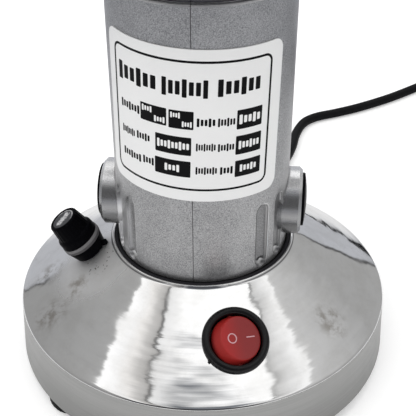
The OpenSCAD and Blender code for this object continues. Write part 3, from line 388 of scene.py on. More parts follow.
# Makes a material: fixed numbers go on the shader's own sockets. Its paint gives the tint, the roughness, the
# bump's height and depth in mm and, where it changes too, how metallic it is.
def makeFinish(name, fixed, paint):
    material = bpy.data.materials.new(name)
    material.use_nodes = True
    tree = material.node_tree
    shader = tree.nodes["Principled BSDF"]
    for key, value in fixed.items():
        shader.inputs[key].default_value = value
    spot = tree.nodes.new("ShaderNodeTexCoord")
    place = Socket(tree, spot.outputs["Object"]).scaled(1000, 1000, 1000)
    tint, rough, height, depth, *metallic = paint(place)
    bump = place.make("ShaderNodeBump", None, {"Strength": 1.0, "Distance": depth * mm, "Height": height})
    for key, value in zip(("Base Color", "Roughness", "Normal", "Metallic"), (tint, rough, bump, *metallic)):
        tree.links.new(value.socket, shader.inputs[key])
    return material


def grey(value, warm=0.0):
    return (value * (1 + warm), value, value * (1 - warm))


# Round streaks of spun or turned metal: noise over direction and radius, so it has no seam at the back.
def spunNoise(place, fine, swirl, height=0.0, detail=1):
    x, y, z = place.split()
    radius = x.hypot(y)
    return place.join(x / radius * swirl, y / radius * swirl, radius * fine + z * height).noise(1, detail)


# A place measured from a seat along each of the ways: the dot product with it, less the seat's own.
def seatPlace(place, origin, ways):
    x, y, z = place.split()
    return [x * float(way[0]) + y * float(way[1]) + z * float(way[2]) - float(way @ origin) for way in ways]


# Sizes that the finishes need too
dish = {"radius": 70, "rimHeight": 26, "slope": 32.6, "flare": 1.2, "foot": 5, "sheet": 1.2,
        "lipAt": 33.7, "lip": 0.5, "edge": 0.7, "steps": 480}
fuse = {"seat": (-78.4, 42.5), "flange": 7.4, "flangeFoot": 6.3, "flangeHeight": 4.9, "barrel": 5.5,
        "depth": 27, "plug": 4.1, "washer": 7.8, "capAt": 7.2, "capHeight": 10.2, "skirt": 7.5,
        "skirtTop": 3.1, "grip": 6.6, "end": 5.8, "tab": 72, "printTurn": 131,
        "bore": (1.6, -13.5), "hollow": (2.95, 2.85), "plugLength": 7}
ring = {"inner": 31.45, "outer": 33.15, "under": 46.859, "top": 49.379, "flatTo": 32.2, "slopeTo": 48.9}


# Finishes
# Polished dish: a near mirror. Each spun ring leans a little its own way, so what it reflects has ragged
# edges. Heights are in mm: slow swells, then finer and finer rings. A spot is its x, y and radius.
dishLook = {"rough": 0.05, "swell": 0.30, "rings": 0.06, "fineRings": 0.004, "skirtRings": 0.003,
            "smudges": [(-52, -33, 9), (-44, -26, 7), (-58, -12, 8), (49, -30, 8)], "reflectionBands": 0.22,
            "specks": (-36, -17, 8), "dull": (-38, -17, 22), "lipShadeLine": 34.4, "skirt": (25.8, 25.3)}


# 1 within a quarter of the spot's radius, 0 outside it.
def nearSpot(x, y, spot):
    return (x - spot[0]).hypot(y - spot[1]).rise(spot[2], spot[2] * 0.25)


def paintDish(place):
    x, y, z = place.split()
    look = dishLook
    swell = spunNoise(place, 0.10, 3)
    rings = spunNoise(place, 0.3, 4.5)
    fineRings = spunNoise(place, 1.7, 2)
    streaks = spunNoise(place, 3.2, 1.6, 3.2, 3)
    reflectionBands = spunNoise(place, 0.35, 0.8, 0.0, 2)
    patches = place.noise(0.11, 4, 0.62).rise(0.36, 0.68)
    skirt = z.rise(*look["skirt"])
    height = swell * look["swell"] + rings * look["rings"] + fineRings * look["fineRings"]
    height = height * (1 - skirt) + streaks * look["skirtRings"]
    smudge = nearSpot(x, y, look["smudges"][0])
    for spot in look["smudges"][1:]:
        smudge = smudge.math("MAXIMUM", nearSpot(x, y, spot))
    smudge = smudge * place.noise(0.22, 4, 0.65).rise(0.42, 0.66)
    specks = (place.cells(0.8) < 0.26) * nearSpot(x, y, look["specks"]) * place.noise(0.5, 1).rise(0.50, 0.56)
    dull = nearSpot(x, y, look["dull"])
    tint = (streaks * 0.35 + patches * 0.65).mix((0.98, 0.98, 0.98), (0.87, 0.865, 0.855))
    # painted reflection: darker bands over the front of the dish
    tint = (reflectionBands.rise(0.48, 0.72) * y.rise(-44, -54) * look["reflectionBands"]).mix(tint, (0.60, 0.60, 0.60))
    tint = (smudge * 0.75).mix(tint, (0.42, 0.39, 0.35))
    # painted shade: a dark line in the crease just outside the lip's bead
    lipShadeLine = abs(x.hypot(y) - look["lipShadeLine"]).rise(0.28, 0.1)
    tint = (lipShadeLine * 0.75).mix(tint, (0.12, 0.12, 0.13))
    # satin skirt, its tint darkened further as painted reflection, most towards its foot
    side = (streaks * 0.7 + z.rise(25, 6) * 0.4).mix((0.48, 0.48, 0.475), (0.27, 0.27, 0.265))
    tint = specks.mix(skirt.mix(tint, side), (0.10, 0.085, 0.07))
    rough = look["rough"] + patches * 0.05 + smudge * 0.12 + dull * 0.5 + skirt * (0.2 + streaks * 0.12)
    return tint, rough, height, 1.0


# Brushed steel for the lid and bowl
def paintBrushed(place):
    streaks = spunNoise(place, 2.4, 1.2, 2.4, 4)
    wide = spunNoise(place, 0.3, 1.5, 0.3, 2)
    smudge = place.noise(0.05, 4, 0.6).rise(0.45, 0.75)
    rough = 0.2 + streaks * 0.14 + smudge * 0.07
    tint = streaks.mix((0.62, 0.62, 0.63), (0.46, 0.46, 0.465))
    return tint, rough, streaks * 0.5 + wide, 0.012


# Silver-grey paint with metal flakes and faint orange peel. It carries some of the photograph's shading: the
# housing is darker low down, but paler at its left side, and the bosses are bright with darker lower halves.
# Pairs are a rise and a fall in mm, or in degrees for the grooves on the lit side.
silverLook = {"flakes": ((0.22, 0.22, 0.227), (0.60, 0.60, 0.605)), "bodyRadius": 31.4,
              "bossFrom": (31.7, 32.1), "grooveTurns": 33.75, "grooveHalf": 8.75, "grooveWidth": 5.5,
              "grooveEnds": (53.73, 73.73), "scoop": 52.2, "litTurns": ((-57, -56), (0, -5)),
              "topHighlight": ((150.2, 150.4), (151.05, 150.95)), "neck": ((151.0, 151.1), (157, 156.9)),
              "boss": ((100, 90), (53, 54)), "bossShadeEdge": (72.5, 75), "bossShadeTint": (0.38, 0.38, 0.385),
              "lowShade": ((58, 48), (-28, -18)), "lowShadeTint": (0.16, 0.16, 0.165),
              "left": ((74, 68), (45, 47)), "leftLitFrom": (-22, -26), "leftLitTint": (0.90, 0.90, 0.91)}
shadow = (0.05, 0.05, 0.052)


# The housing's grooves: t is the way round from the nearest groove's middle and d the way out from its
# edge. Painted shade darkens the floor, the left edge and the middle of the scoop at the foot, and a painted
# highlight pales the right edge and the scoop's rim. The groove left of the middle faces the light and stays
# bright.
def paintGrooves(x, y, z, plain, look):
    turn = x.degrees(y * -1)
    side = abs(turn) - 90
    third = abs(side) - look["grooveTurns"]
    sign = turn.math("SIGN") * side.math("SIGN") * third.math("SIGN")
    t = (abs(third) - look["grooveHalf"]) * sign * (math.pi / 180 * look["bodyRadius"])
    low, high = look["grooveEnds"]
    end = (z - high).math("MAXIMUM", low - z).math("MAXIMUM", 0)
    d = t.hypot(end) - look["grooveWidth"] / 2
    edge = abs(d).rise(0.5, 0.2)
    lit = turn.within(*look["litTurns"])
    tint = (d.rise(0.1, -0.3) * (0.5 - lit * 0.45)).mix(plain, (0.12, 0.12, 0.124))
    tint = (edge * t.rise(-0.3, -0.6) * turn.rise(-5, 5) * 0.8).mix(tint, shadow)
    tint = (edge * t.rise(0.3, 0.6) * (0.7 - lit * 0.5)).mix(tint, (0.80, 0.80, 0.80))
    up = z - look["scoop"]
    away = t.hypot(up)
    tint = (away.rise(1.9, 1.5) * up.rise(0.4, -0.2)).mix(tint, (0.93, 0.93, 0.92))
    tint = away.rise(0.95, 0.6).mix(tint, shadow)
    return x.hypot(y).rise(32.0, 31.8).mix(plain, tint)


def paintSilver(place):
    x, y, z = place.split()
    look = silverLook
    flakes = place.noise(2.6, 3, 0.75)
    peel = place.noise(0.9, 3, 0.5)
    cloud = place.noise(0.05, 3, 0.6)
    tint = (flakes + cloud * 0.25).rise(0.42, 0.84).mix(*look["flakes"])
    tint = paintGrooves(x, y, z, tint, look)
    # painted shade: the housing darkens towards its foot, all round but the far left
    low, right = look["lowShade"]
    tint = (z.rise(*low) * x.rise(*right) * 0.45).mix(tint, look["lowShadeTint"])
    # painted highlight: a pale line along the housing's rounded top edge
    tint = z.within(*look["topHighlight"]).mix(tint, (0.78, 0.78, 0.78))
    # painted shade: the neck under the cradle's overhang is dark
    tint = z.within(*look["neck"]).mix(tint, (0.13, 0.13, 0.14))
    # painted highlight on the bosses' upper parts and painted shade on their lower halves
    boss = x.hypot(y).rise(*look["bossFrom"]) * z.within(*look["boss"])
    bossHighlight = flakes.rise(0.3, 0.7).mix((0.75, 0.75, 0.76), (1, 1, 1))
    tint = boss.mix(tint, z.rise(*look["bossShadeEdge"]).mix(look["bossShadeTint"], bossHighlight))
    # painted light: a paler patch low on the housing's left side, beside the left boss
    left = (1 - boss) * x.rise(*look["leftLitFrom"]) * z.within(*look["left"])
    tint = (left * 0.9).mix(tint, look["leftLitTint"])
    rough = 0.27 + flakes * 0.12 - boss * 0.09
    return tint, rough, peel * 0.5 + flakes * 0.4, 0.03


# Moulded plastic or rubber with a fine spark-eroded grain
def paintMoulded(dark, light, rough, depth, scale=2.2):
    def paint(place):
        grain = place.noise(scale, 4, 0.6)
        cloud = place.noise(0.07, 3)
        worn = place.noise(0.35, 5, 0.7).rise(0.6, 0.85)
        tint = (grain * 0.45 + cloud * 0.3 + worn * 0.25).mix(dark, light)
        return tint, rough + grain * 0.1 + worn * 0.08, grain, depth
    return paint


# Fuse washer: a dark lower half and a paler upper one
def paintWasher(place):
    seat, basis = coneSeat(*fuse["seat"])
    up, = seatPlace(place, seat, basis[2:])
    middle = (fuse["flangeHeight"] + fuse["capAt"]) / 2
    upper = up.rise(middle - 0.1, middle + 0.1)
    grain = place.noise(2.2, 3)
    tint = (upper * 0.75 + grain * 0.25).mix((0.07, 0.066, 0.07), (0.19, 0.185, 0.19))
    return tint, 0.5 + grain * 0.15, grain, 0.02


# Worn pale paint on the fuse cap's end: a ragged strip across it, and a thin arc by its edge
def paintWorn(place):
    seat, basis = coneSeat(*fuse["seat"])
    turn = math.radians(fuse["printTurn"])
    along = basis[0] * math.cos(turn) + basis[1] * math.sin(turn)
    across = basis[1] * math.cos(turn) - basis[0] * math.sin(turn)
    u, v = seatPlace(place, seat, (along, across))
    ragged = place.noise(1.3, 4, 0.7)
    strip = (abs(v) + ragged * 4).rise(3.5, 3.1) * (abs(u) + ragged * 3).rise(4.9, 4.3)
    strip = strip * place.noise(2.4, 2, 0.6).rise(0.36, 0.50)
    arc = u.hypot(v).within((3.9, 4.1), (4.7, 4.5)) * u.rise(0.3, 1.3) * ragged.rise(0.4, 0.55)
    pale = strip.math("MAXIMUM", arc)
    grain = place.noise(3, 3)
    tint = pale.mix((0.03, 0.03, 0.034), (0.56, 0.56, 0.57))
    return tint, 0.35 + pale * 0.2, pale + grain * 0.4, 0.02


# Neck ring: black beside the housing, dark grey on its sloped side
def paintNeck(place):
    x, y, z = place.split()
    grain = place.noise(1.5, 3)
    slope = x.hypot(y).rise(ring["flatTo"] - 0.15, ring["flatTo"] + 0.1)
    tint = (slope * 0.8 + grain * 0.2).mix((0.003, 0.003, 0.003), (0.022, 0.021, 0.025))
    return tint, 0.4 + grain * 0.15, grain, 0.02


# Cast, rolled or ground metal, with streaks along one axis
def paintMetal(dark, light, rough, stretch=(1, 1, 1)):
    def paint(place):
        streaks = place.scaled(*stretch).noise(0.8, 4, 0.6)
        spots = place.noise(0.12, 4, 0.6).rise(0.4, 0.75)
        tint = (streaks * 0.7 + spots * 0.3).mix(dark, light)
        return tint, rough + streaks * 0.14 + spots * 0.06, streaks, 0.01
    return paint


# Layers or windings: a sine along the height, plus the radius for windings, with noise, in bump and tint
def paintLayers(dark, light, rough, wound, pitch, depth):
    def paint(place):
        x, y, z = place.split()
        along = z + x.hypot(y) if wound else z
        wave = (along * (2 * math.pi / pitch)).math("SINE") * 0.5 + 0.5
        spread = place.noise(0.6, 3)
        tint = (wave * 0.55 + spread * 0.45).mix(dark, light)
        return tint, rough + spread * 0.15, wave + spread * 0.3, depth
    return paint


# The commutator: copper bars parted by dark mica, counted round the shaft
def paintBars(place):
    x, y, z = place.split()
    bars = (x.math("ARCTAN2", y * -1) * 12).math("COSINE")
    gap = bars.rise(0.9, 0.985)
    wear = place.scaled(0.2, 0.2, 3).noise(0.8, 3)
    tint = gap.mix(wear.mix((0.62, 0.30, 0.16), (0.78, 0.45, 0.27)), (0.05, 0.035, 0.03))
    return tint, 0.25 + wear * 0.2 + gap * 0.4, wear * 0.3 - gap, 0.08, 1 - gap


# Label film: white with a faint grain and cloudy patches
def paintLabel(place):
    grain = place.noise(3.0, 3)
    cloud = place.noise(0.06, 3)
    tint = (grain * 0.4 + cloud * 0.6).mix((0.82, 0.825, 0.83), (0.92, 0.92, 0.915))
    return tint, 0.34 + grain * 0.1, grain + cloud * 2, 0.006


# Clear, faintly streaked glass
def paintGlass(place):
    streaks = place.noise(0.8, 3)
    tint = streaks.mix((0.72, 0.76, 0.76), (0.86, 0.89, 0.88))
    return tint, 0.06 + streaks * 0.05, streaks, 0.004


black, soot, tar = (0.003, 0.003, 0.0035), (0.007, 0.007, 0.008), (0.002, 0.002, 0.003)
metal, dullGloss = {"Metallic": 1.0}, {"Specular IOR Level": 0.09}
# Each row: the material's name, its fixed settings, and its paint
finishRows = {
    "dish": ("polished_steel", metal, paintDish),
    "brushed": ("brushed_steel", metal, paintBrushed),
    "silver": ("silver_paint", {"Metallic": 0.8, "Coat Weight": 0.1, "Coat Roughness": 0.3}, paintSilver),
    "label": ("label_film", {"Coat Weight": 0.25, "Coat Roughness": 0.2}, paintLabel),
    "neckRing": ("ring_rubber", dullGloss, paintNeck),
    "washer": ("grey_rubber", {}, paintWasher),
    "worn": ("worn_print", {}, paintWorn),
    "bars": ("commutator_bars", {}, paintBars),
    "glass": ("fuse_glass", {"IOR": 1.5, "Transmission Weight": 0.6}, paintGlass),
    "copper": ("enamelled_copper", {"Metallic": 0.8, "Coat Weight": 0.5, "Coat Roughness": 0.15},
               paintLayers((0.34, 0.11, 0.05), (0.62, 0.25, 0.12), 0.25, True, 0.9, 0.10)),
    "core": ("stacked_laminations", {"Metallic": 0.85},
             paintLayers((0.16, 0.165, 0.17), (0.30, 0.31, 0.32), 0.42, False, 0.8, 0.05)),
}
# Each row: name, fixed settings, dark and light tint, roughness, depth of grain, and its scale where not 2.2
mouldedRows = {
    "ink": ("label_ink", dullGloss, black, soot, 0.32, 0.004),
    "plastic": ("black_plastic", dullGloss, black, soot, 0.3, 0.012),
    "pitch": ("pitch_black_plastic", {"Specular IOR Level": 0.02}, tar, black, 0.3, 0.012),
    "bezel": ("satin_plastic", {"Specular IOR Level": 0.3}, black, (0.008, 0.008, 0.009), 0.26, 0.01),
    "rubber": ("black_rubber", dullGloss, (0.004, 0.004, 0.005), (0.009, 0.009, 0.010), 0.52, 0.02),
    "cord": ("cord_sheath", dullGloss, (0.004, 0.004, 0.005), (0.010, 0.010, 0.011), 0.44, 0.03, 1.2),
    "silicone": ("white_silicone", {"Subsurface Weight": 0.1}, (0.72, 0.72, 0.7), (0.8, 0.8, 0.78), 0.45,
                 0.02),
    "mark": ("mark_paint", {}, (0.52, 0.27, 0.30), (0.62, 0.36, 0.38), 0.5, 0.02),
    "ivory": ("ivory_nylon", {}, (0.60, 0.57, 0.48), (0.70, 0.67, 0.58), 0.42, 0.02),
    "blue": ("blue_case", {}, (0.02, 0.05, 0.22), (0.03, 0.07, 0.30), 0.35, 0.01),
    "fan": ("glass_filled_nylon", {}, (0.03, 0.03, 0.033), (0.06, 0.06, 0.064), 0.48, 0.03),
    "carbon": ("carbon_block", {}, (0.018, 0.018, 0.02), (0.045, 0.045, 0.048), 0.4, 0.03, 4.0),
    "leads": ("lead_sheath", {}, (0.16, 0.06, 0.03), (0.24, 0.10, 0.05), 0.4, 0.01),
}
# Each row: name, dark and light tint, roughness, and how much finer the streaks are along X, Y and Z
metalRows = {
    "zinc": ("zinc_plate", (0.40, 0.41, 0.42), (0.56, 0.57, 0.58), 0.3, (0.3, 2, 1)),
    "screw": ("screw_steel", (0.50, 0.50, 0.51), (0.66, 0.66, 0.67), 0.24, (1, 1, 4)),
    "bright": ("ground_steel", (0.58, 0.58, 0.59), (0.70, 0.70, 0.71), 0.18, (1, 1, 5)),
    "blade": ("blade_steel", (0.52, 0.52, 0.53), (0.70, 0.70, 0.71), 0.2, (4, 4, 1)),
    "brass": ("brass", (0.62, 0.44, 0.17), (0.78, 0.58, 0.26), 0.26, (3, 1, 1)),
    "nickel": ("nickel_pins", (0.62, 0.61, 0.58), (0.74, 0.73, 0.70), 0.16, (1, 0.2, 1)),
    "spring": ("spring_wire", (0.36, 0.36, 0.37), (0.52, 0.52, 0.53), 0.28),
}
finishes = {key: makeFinish(*row) for key, row in finishRows.items()}
for key, (name, fixed, *look) in mouldedRows.items():
    finishes[key] = makeFinish(name, fixed, paintMoulded(*look))
for key, (name, *look) in metalRows.items():
    finishes[key] = makeFinish(name, metal, paintMetal(*look))
print("finishes made:", len(finishes))

# Cord: the source's route, then the coil, then the short tail to the plug
cordRoute = {
    "diameter": 5,
    "away": [(17, 85, 14), (18, 90, 14), (20, 100, 11), (23, 112, 5), (27, 124, 2.5), (31, 136, 2.5),
             (33.5, 148, 2.5), (35, 160, 2.5), (39, 173, 2.5), (46, 181, 2.5), (58, 187.5, 2.5),
             (72, 196, 2.5), (90, 209.5, 2.5), (106, 224, 2.5), (120, 237, 2.5), (134, 247, 2.5),
             (148, 253.5, 2.5), (160, 256, 2.5), (165, 256, 2.5)],
    "coilCentre": (170, 222), "coilRadius": 34, "coilPitch": 5.6, "coilClimb": 5.6, "coilLoops": 2.375,
    "tail": [(204, 212, 8.1), (204, 203, 6.5), (204, 193, 5), (204, 183, 6), (204, 173, 9.5),
             (204, 164, 11), (204, 159, 11)],
    "tieAt": -30, "tieWidth": 9, "bundle": (21.5, 10.9, 2.6), "bundleAt": (27.9, 5.5),
}
relief = {"at": (17, 85, 14), "reach": 86.68, "wall": 70.69, "ribs": 4, "ribPitch": 2.75, "stem": 4.5,
          "flange": 5.7, "collar": 6.9, "nose": 3.4, "hole": 4.75}
plug = {"at": (204, 159, 11), "length": 48, "width": 34, "thick": 21.6, "shoulder": 24, "neck": 16,
        "neckRadius": 3.7}


# Catmull-Rom curve: b + t/2 (c - a + t (2a - 5b + 4c - d + t (3b - a - 3c + d))) between b and c.
def smoothRoute(points, steps):
    p = np.asarray(points, float)
    p = np.vstack([2 * p[0] - p[1], p, 2 * p[-1] - p[-2]])
    a, b, c, d = (p[k:len(p) - 3 + k, None] for k in range(4))
    t = np.linspace(0, 1, steps, endpoint=False)[None, :, None]
    curve = b + 0.5 * t * (c - a + t * (2 * a - 5 * b + 4 * c - d + t * (3 * b - a - 3 * c + d)))
    return np.vstack([curve.reshape(-1, 3), p[-2:-1]])


# 0 to 1 with flat ends: 3t^2 - 2t^3, t held between 0 and 1.
def eased(t):
    t = np.clip(t, 0, 1)
    return t * t * (3 - 2 * t)


# The coil: a ring whose radius shrinks by one pitch a turn and grows again a layer higher.
def coilRoute(route, perTurn=40):
    turns = 2 * route["coilLoops"] + 0.5
    turn = np.linspace(0, turns, int(turns * perTurn) + 1)
    radius = route["coilRadius"] - route["coilPitch"] * (turns / 2 - np.abs(turn - turns / 2))
    angle = np.radians(90 - 360 * turn)
    height = route["diameter"] / 2 + route["coilClimb"] * eased((turn - route["coilLoops"]) / 0.5)
    x, y = route["coilCentre"]
    return np.stack([x + radius * np.cos(angle), y + radius * np.sin(angle), height], axis=1)


def makeCord(route):
    coil = coilRoute(route)
    away = smoothRoute(route["away"] + [tuple(coil[0])], 4)
    tail = smoothRoute([tuple(coil[-1])] + route["tail"], 4)
    path = np.vstack([away[:-1], coil, tail[1:]])
    length = float(np.linalg.norm(np.diff(path, axis=0), axis=1).sum())
    piece = addPiece("power_cord", [tube(path, route["diameter"] / 2, 12)], "base", "cord",
                     ("cord", "cord_coil", "cord_tail"))
    return piece, path, length


cordPiece, cordPath, cordLength = makeCord(cordRoute)
print("cord routed, length in mm:", round(cordLength))


# Z along the cord's way out, zero at the sleeve's outer end
def cordAxis():
    x, y, z = relief["at"]
    out = np.array([x, y, 0.0]) / math.hypot(x, y)
    side = np.cross((0, 0, 1), out)
    return np.array([x, y, z], float), np.array([side, (0, 0, 1), out])


# Tapered sleeve: a collar on the wall, then ribs of falling radius, turned about the cord's way out.
def makeRelief(size):
    stem, flange, collar, nose = pick(size, "stem flange collar nose")
    wall = size["wall"] - size["reach"]
    profile = [(0, wall - 8, .2), (stem, wall - 8, .2), (stem, wall - 4.4, .2), (flange, wall - 4.4, .2),
               (flange, wall - 1.6, .2), (stem, wall - 1.6, .1), (stem, wall + .4, .1),
               (collar, wall + .4, .2), (collar, wall + 3.2, .9), (5.4, wall + 3.6, .3)]
    for k in range(size["ribs"]):
        z = wall + 4.6 + size["ribPitch"] * k
        r = 5.2 - (5.2 - nose) * (z - wall) / -wall
        profile += [(r, z, .2), (r - .9, z + .25, .2), (r - .95, z + 1.1, .2), (r - .1, z + 1.35, .2)]
    profile += [(nose, -.1, .4), (cordRoute["diameter"] / 2 + .05, 0, .1), (0, 0, .1)]
    shell = lathe(profile, 64, curve=3, seat=cordAxis())
    addPiece("cord_relief", [shell], "base", "rubber", ("strain_relief",))


# Plug body: rings that change from a circle to a rounded slab, with three grip ridges on each side.
def makePlug(size):
    t = np.linspace(0, 1, 90)[:, None]
    a = np.linspace(0, 2 * math.pi, 72, endpoint=False)[None, :]
    along, neck = t * size["length"], size["neck"]
    swell = eased((along - neck + 3) / (size["shoulder"] - neck + 6))
    endRound = np.sqrt(np.clip(1 - ((along - size["length"] + 2) / 2).clip(0, 1) ** 2, 0, 1))
    thick, half = [size["neckRadius"] + 1.4 * (along / neck).clip(0, 1) + (size[side] / 2 - 5.1) * swell
                   - 2 * (1 - endRound) for side in ("thick", "width")]
    rib = 0.35 * np.sin(along * 2 * math.pi / 2.4) * ((along > 2) & (along < neck - 3))
    grip = 0.45 * np.sin(along * 2 * math.pi / 3.2) * ((along > 28) & (along < 41))
    sideways, upward = np.cos(a), np.sin(a)
    x = (half - thick) * np.tanh(6 * sideways) + (thick + rib) * sideways
    x = x + grip * np.sign(sideways) * np.abs(sideways) ** 4
    middle = np.asarray(size["at"], float)
    grid = np.stack([x, -along + 0 * a, (thick + rib) * upward], axis=2) + middle
    shell = shellOf(grid, ends=(middle, middle - (0, size["length"], 0)))
    return addPiece("plug_body", [shell], "base", "rubber", ("plug",), 50)


# The tie: a flat band round the coil's bundle, its section a rounded box bent across the turns.
def makeTie(route):
    out, side, up = turned(route["tieAt"])
    loop = roundedBox(*route["bundle"], 8)
    reach, height = route["bundleAt"]
    middle = np.array([*route["coilCentre"], 0]) + reach * out + (0, 0, height)
    path = middle + loop[:, :1] * out + loop[:, 1:] * up
    away = loop / np.linalg.norm(loop, axis=1, keepdims=True)
    away = away[:, :1] * out + away[:, 1:] * up
    grid = bandOf(path, roundedBox(route["tieWidth"], 0.9, 0.4, 3), side, away[:, None] * 0.5)
    grid[:, :, 2] = np.maximum(grid[:, :, 2], 0.02)
    return addPiece("coil_tie", [shellOf(grid, wrapRows=True)], "base", "rubber")


makeRelief(relief)
plugPiece = makePlug(plug)
tiePiece = makeTie(cordRoute)
print("plug, sleeve and tie made")


# Base dish: lip, cone, sharp edge and skirt as one sheet turned about the axis, with three holes cut
def makeDish(size):
    r, sheet, rim, low = size["radius"], size["sheet"], size["rimHeight"], size["foot"] + 0.05
    slope = math.radians(size["slope"])
    cut = sheet / math.cos(slope)
    a = np.radians(np.linspace(238, 22, 15))
    at, lipZ = size["lipAt"], coneHeight(size["lipAt"]) - size["lip"] + 0.2
    lip = np.stack([at + size["lip"] * np.cos(a), lipZ + size["lip"] * np.sin(a), 0 * a + 0.05], axis=1)
    foot = r + size["flare"]
    body = [(at + 1, coneHeight(at + 1), 0.3), (r, rim, size["edge"]), (foot, low, 0.3),
            (foot - sheet, low, 0.3), (r - sheet, rim + sheet * math.tan(slope) - cut, 0.5),
            (at + 1.6, coneHeight(at + 1.6) - cut, 0.3)]
    shell = lathe(np.vstack([lip, body]), size["steps"], 0.5, True)
    piece = addPiece("dish_shell", [shell], "base", "dish", ("base_dish",))
    cutOut(piece, [placed(rod(switch["barrel"] + 0.12, -5, 5), *coneSeat(*switch["seat"])),
                   placed(rod(fuse["barrel"] + 0.15, -5, 5), *coneSeat(*fuse["seat"])),
                   placed(rod(relief["hole"], -20, -12), *cordAxis())])


# Neck ring: a rubber band with a flat top, a small step and a sloped outer side, turned about the axis.
def makeRing(size):
    flat, high, inner, outer, under = pick(size, "flatTo top inner outer under")
    shell = lathe([(inner, under, 0.1), (outer, under, 0.1), (outer, size["slopeTo"], 0.15),
                   (flat + 0.25, high - 0.22, 0.08), (flat + 0.2, high, 0.1), (inner, high, 0.15)],
                  240, 0.15, True)
    addPiece("ring_band", [shell], "base", "neckRing", ("neck_ring",))


# Feet: a ribbed rubber puck with a sunk middle for its screw.
foot = {"reach": 62, "radius": 9, "height": 5, "ribs": 36, "ribDepth": 0.06, "hole": 2.12, "sink": (4.1, 3),
        "azimuths": {"front_right": 45, "rear_right": 135, "rear_left": 225, "front_left": 315}}


def makeFeet(size):
    r, h, hole, (sink, deep) = size["radius"], size["height"], size["hole"], size["sink"]
    profile = [(sink, deep, .15), (sink, .1, .4), (r - .9, 0, .5), (r - .1, 1.6, .4), (r, h - 1.2, .2),
               (r, h, .2), (hole, h, .1), (hole, deep, .1)]

    def ribs(a, radius, z):
        return np.where(radius > r - 1, size["ribDepth"] * (np.cos(size["ribs"] * a) - 1), 0)

    for name, azimuth in size["azimuths"].items():
        seat = np.array([0, -size["reach"], 0]) @ turned(azimuth), turned(azimuth)
        shell = lathe(profile, 144, 0.25, True, 4, ribs, seat)
        addPiece("pad_" + name, [shell], "base", "rubber", ("foot_" + name,))


# Switch: bezel with its well, a rocker that leans on its pivot, and the two marks on the rocker
switch = {"seat": (18.6, 50.799), "bezel": 11.7, "height": 2.3, "well": 9.05, "depth": 6, "barrel": 9.95,
          "barrelDepth": 18, "nib": -151, "pivot": -1.6, "tilt": 8, "rocker": 8.6, "topRadii": (7.0, 7.75),
          "topShift": (1.2, 0.1), "top": 3.5, "waist": 0.8, "bottom": -2.0, "pin": 1.15,
          "ovalAt": (-1.84, 0.3), "ovalRadii": (1.45, 1.62), "dashAt": (4.74, 0.15), "dashLength": 3.1,
          "line": 0.42, "lineThick": 0.14}


# The rocker's red holds painted light and shade: the left of the top and the flank just outside the top's
# ellipse are painted lighter, as if lit, and painted shade darkens the flank down in the well. Away is the
# distance from the ellipse's middle in its own radii.
def paintRocker(size, origin, basis):
    def paint(place):
        u, v = [(along - shift) / radius for along, shift, radius
                in zip(seatPlace(place, origin, basis[:2]), size["topShift"], size["topRadii"])]
        away = u.hypot(v)
        grain = place.noise(2.2, 4, 0.6)
        # painted light: the left of the top lighter than its right
        top = u.rise(-0.9, 0.2).mix((0.34, 0.017, 0.017), (0.215, 0.022, 0.023))
        # painted light on the flank near the top, painted shade lower down in the well
        flank = away.rise(1.22, 1.42).mix((0.31, 0.017, 0.015), (0.07, 0.003, 0.004))
        tint = away.rise(0.93, 1.02).mix(top, flank)
        tint = (grain * 0.15).mix(tint, (0.30, 0.035, 0.03))
        return tint, 0.28 + grain * 0.1, grain, 0.012
    return paint


def makeBezel(size, seat):
    r, h, well, barrel, depth, low = pick(size, "bezel height well barrel depth barrelDepth")
    body = lathe([(0, -low, 0.1), (barrel, -low, 0.4), (barrel, 0.2, 0.1), (r, 0.2, 0.12), (r, 0.9, 0.5),
                  (r - 0.55, h - 0.35, 0.8), (r - 1.5, h, 0.5), (well + 0.35, h - 0.3, 0.25),
                  (well, h - 0.75, 0.3), (well, -depth, 0.2), (0, -depth, 0.1)], 180, seat=seat)
    nib = extrude(roundedBox(1.6, 1.0, 0.2), [(0.1, 0.2), (0, 0.3), (0, 0.8), (0.15, 1.0)])
    nib = placed(moved(nib, (r - 0.25, 0, 0)), (0, 0, 0), turned(size["nib"]))
    addPiece("switch_bezel", [body, placed(nib, *seat)], "base", "bezel", ("switch_body",))


# The rocker: a round button whose sides are drawn in and across, by their height, to an ellipse at its top.
def makeRocker(size, pivot):
    top, waist, bottom, r, (narrow, small) = pick(size, "top waist bottom rocker topRadii")
    button = lathe([(0, bottom, 0.1), (r - 0.3, bottom, 0.3), (r, waist, 0.3),
                    (small + 0.05, top - 0.15, 0.3), (small - 0.4, top, 0.2), (small * 0.5, top - 0.1, 2),
                    (0, top - 0.12, 0.5)], 160)
    lift = ((button[0][:, 2:] - waist) / (top - waist)).clip(0, 1)
    squeeze = 1 - lift * np.array([1 - narrow / small, 0, 0])
    button = button[0] * squeeze + lift * np.array([*size["topShift"], 0]), button[1]
    pin = placed(rod(size["pin"], -r - 0.2, r + 0.2, 24), (0, 0, 0), [(1, 0, 0), (0, 0, 1), (0, -1, 0)])
    finishes["red"] = makeFinish("red_plastic", {"Specular IOR Level": 0.28}, paintRocker(size, *pivot))
    addPiece("rocker_button", [placed(button, *pivot), placed(pin, *pivot)],
             "rocker", "red", ("rocker",))


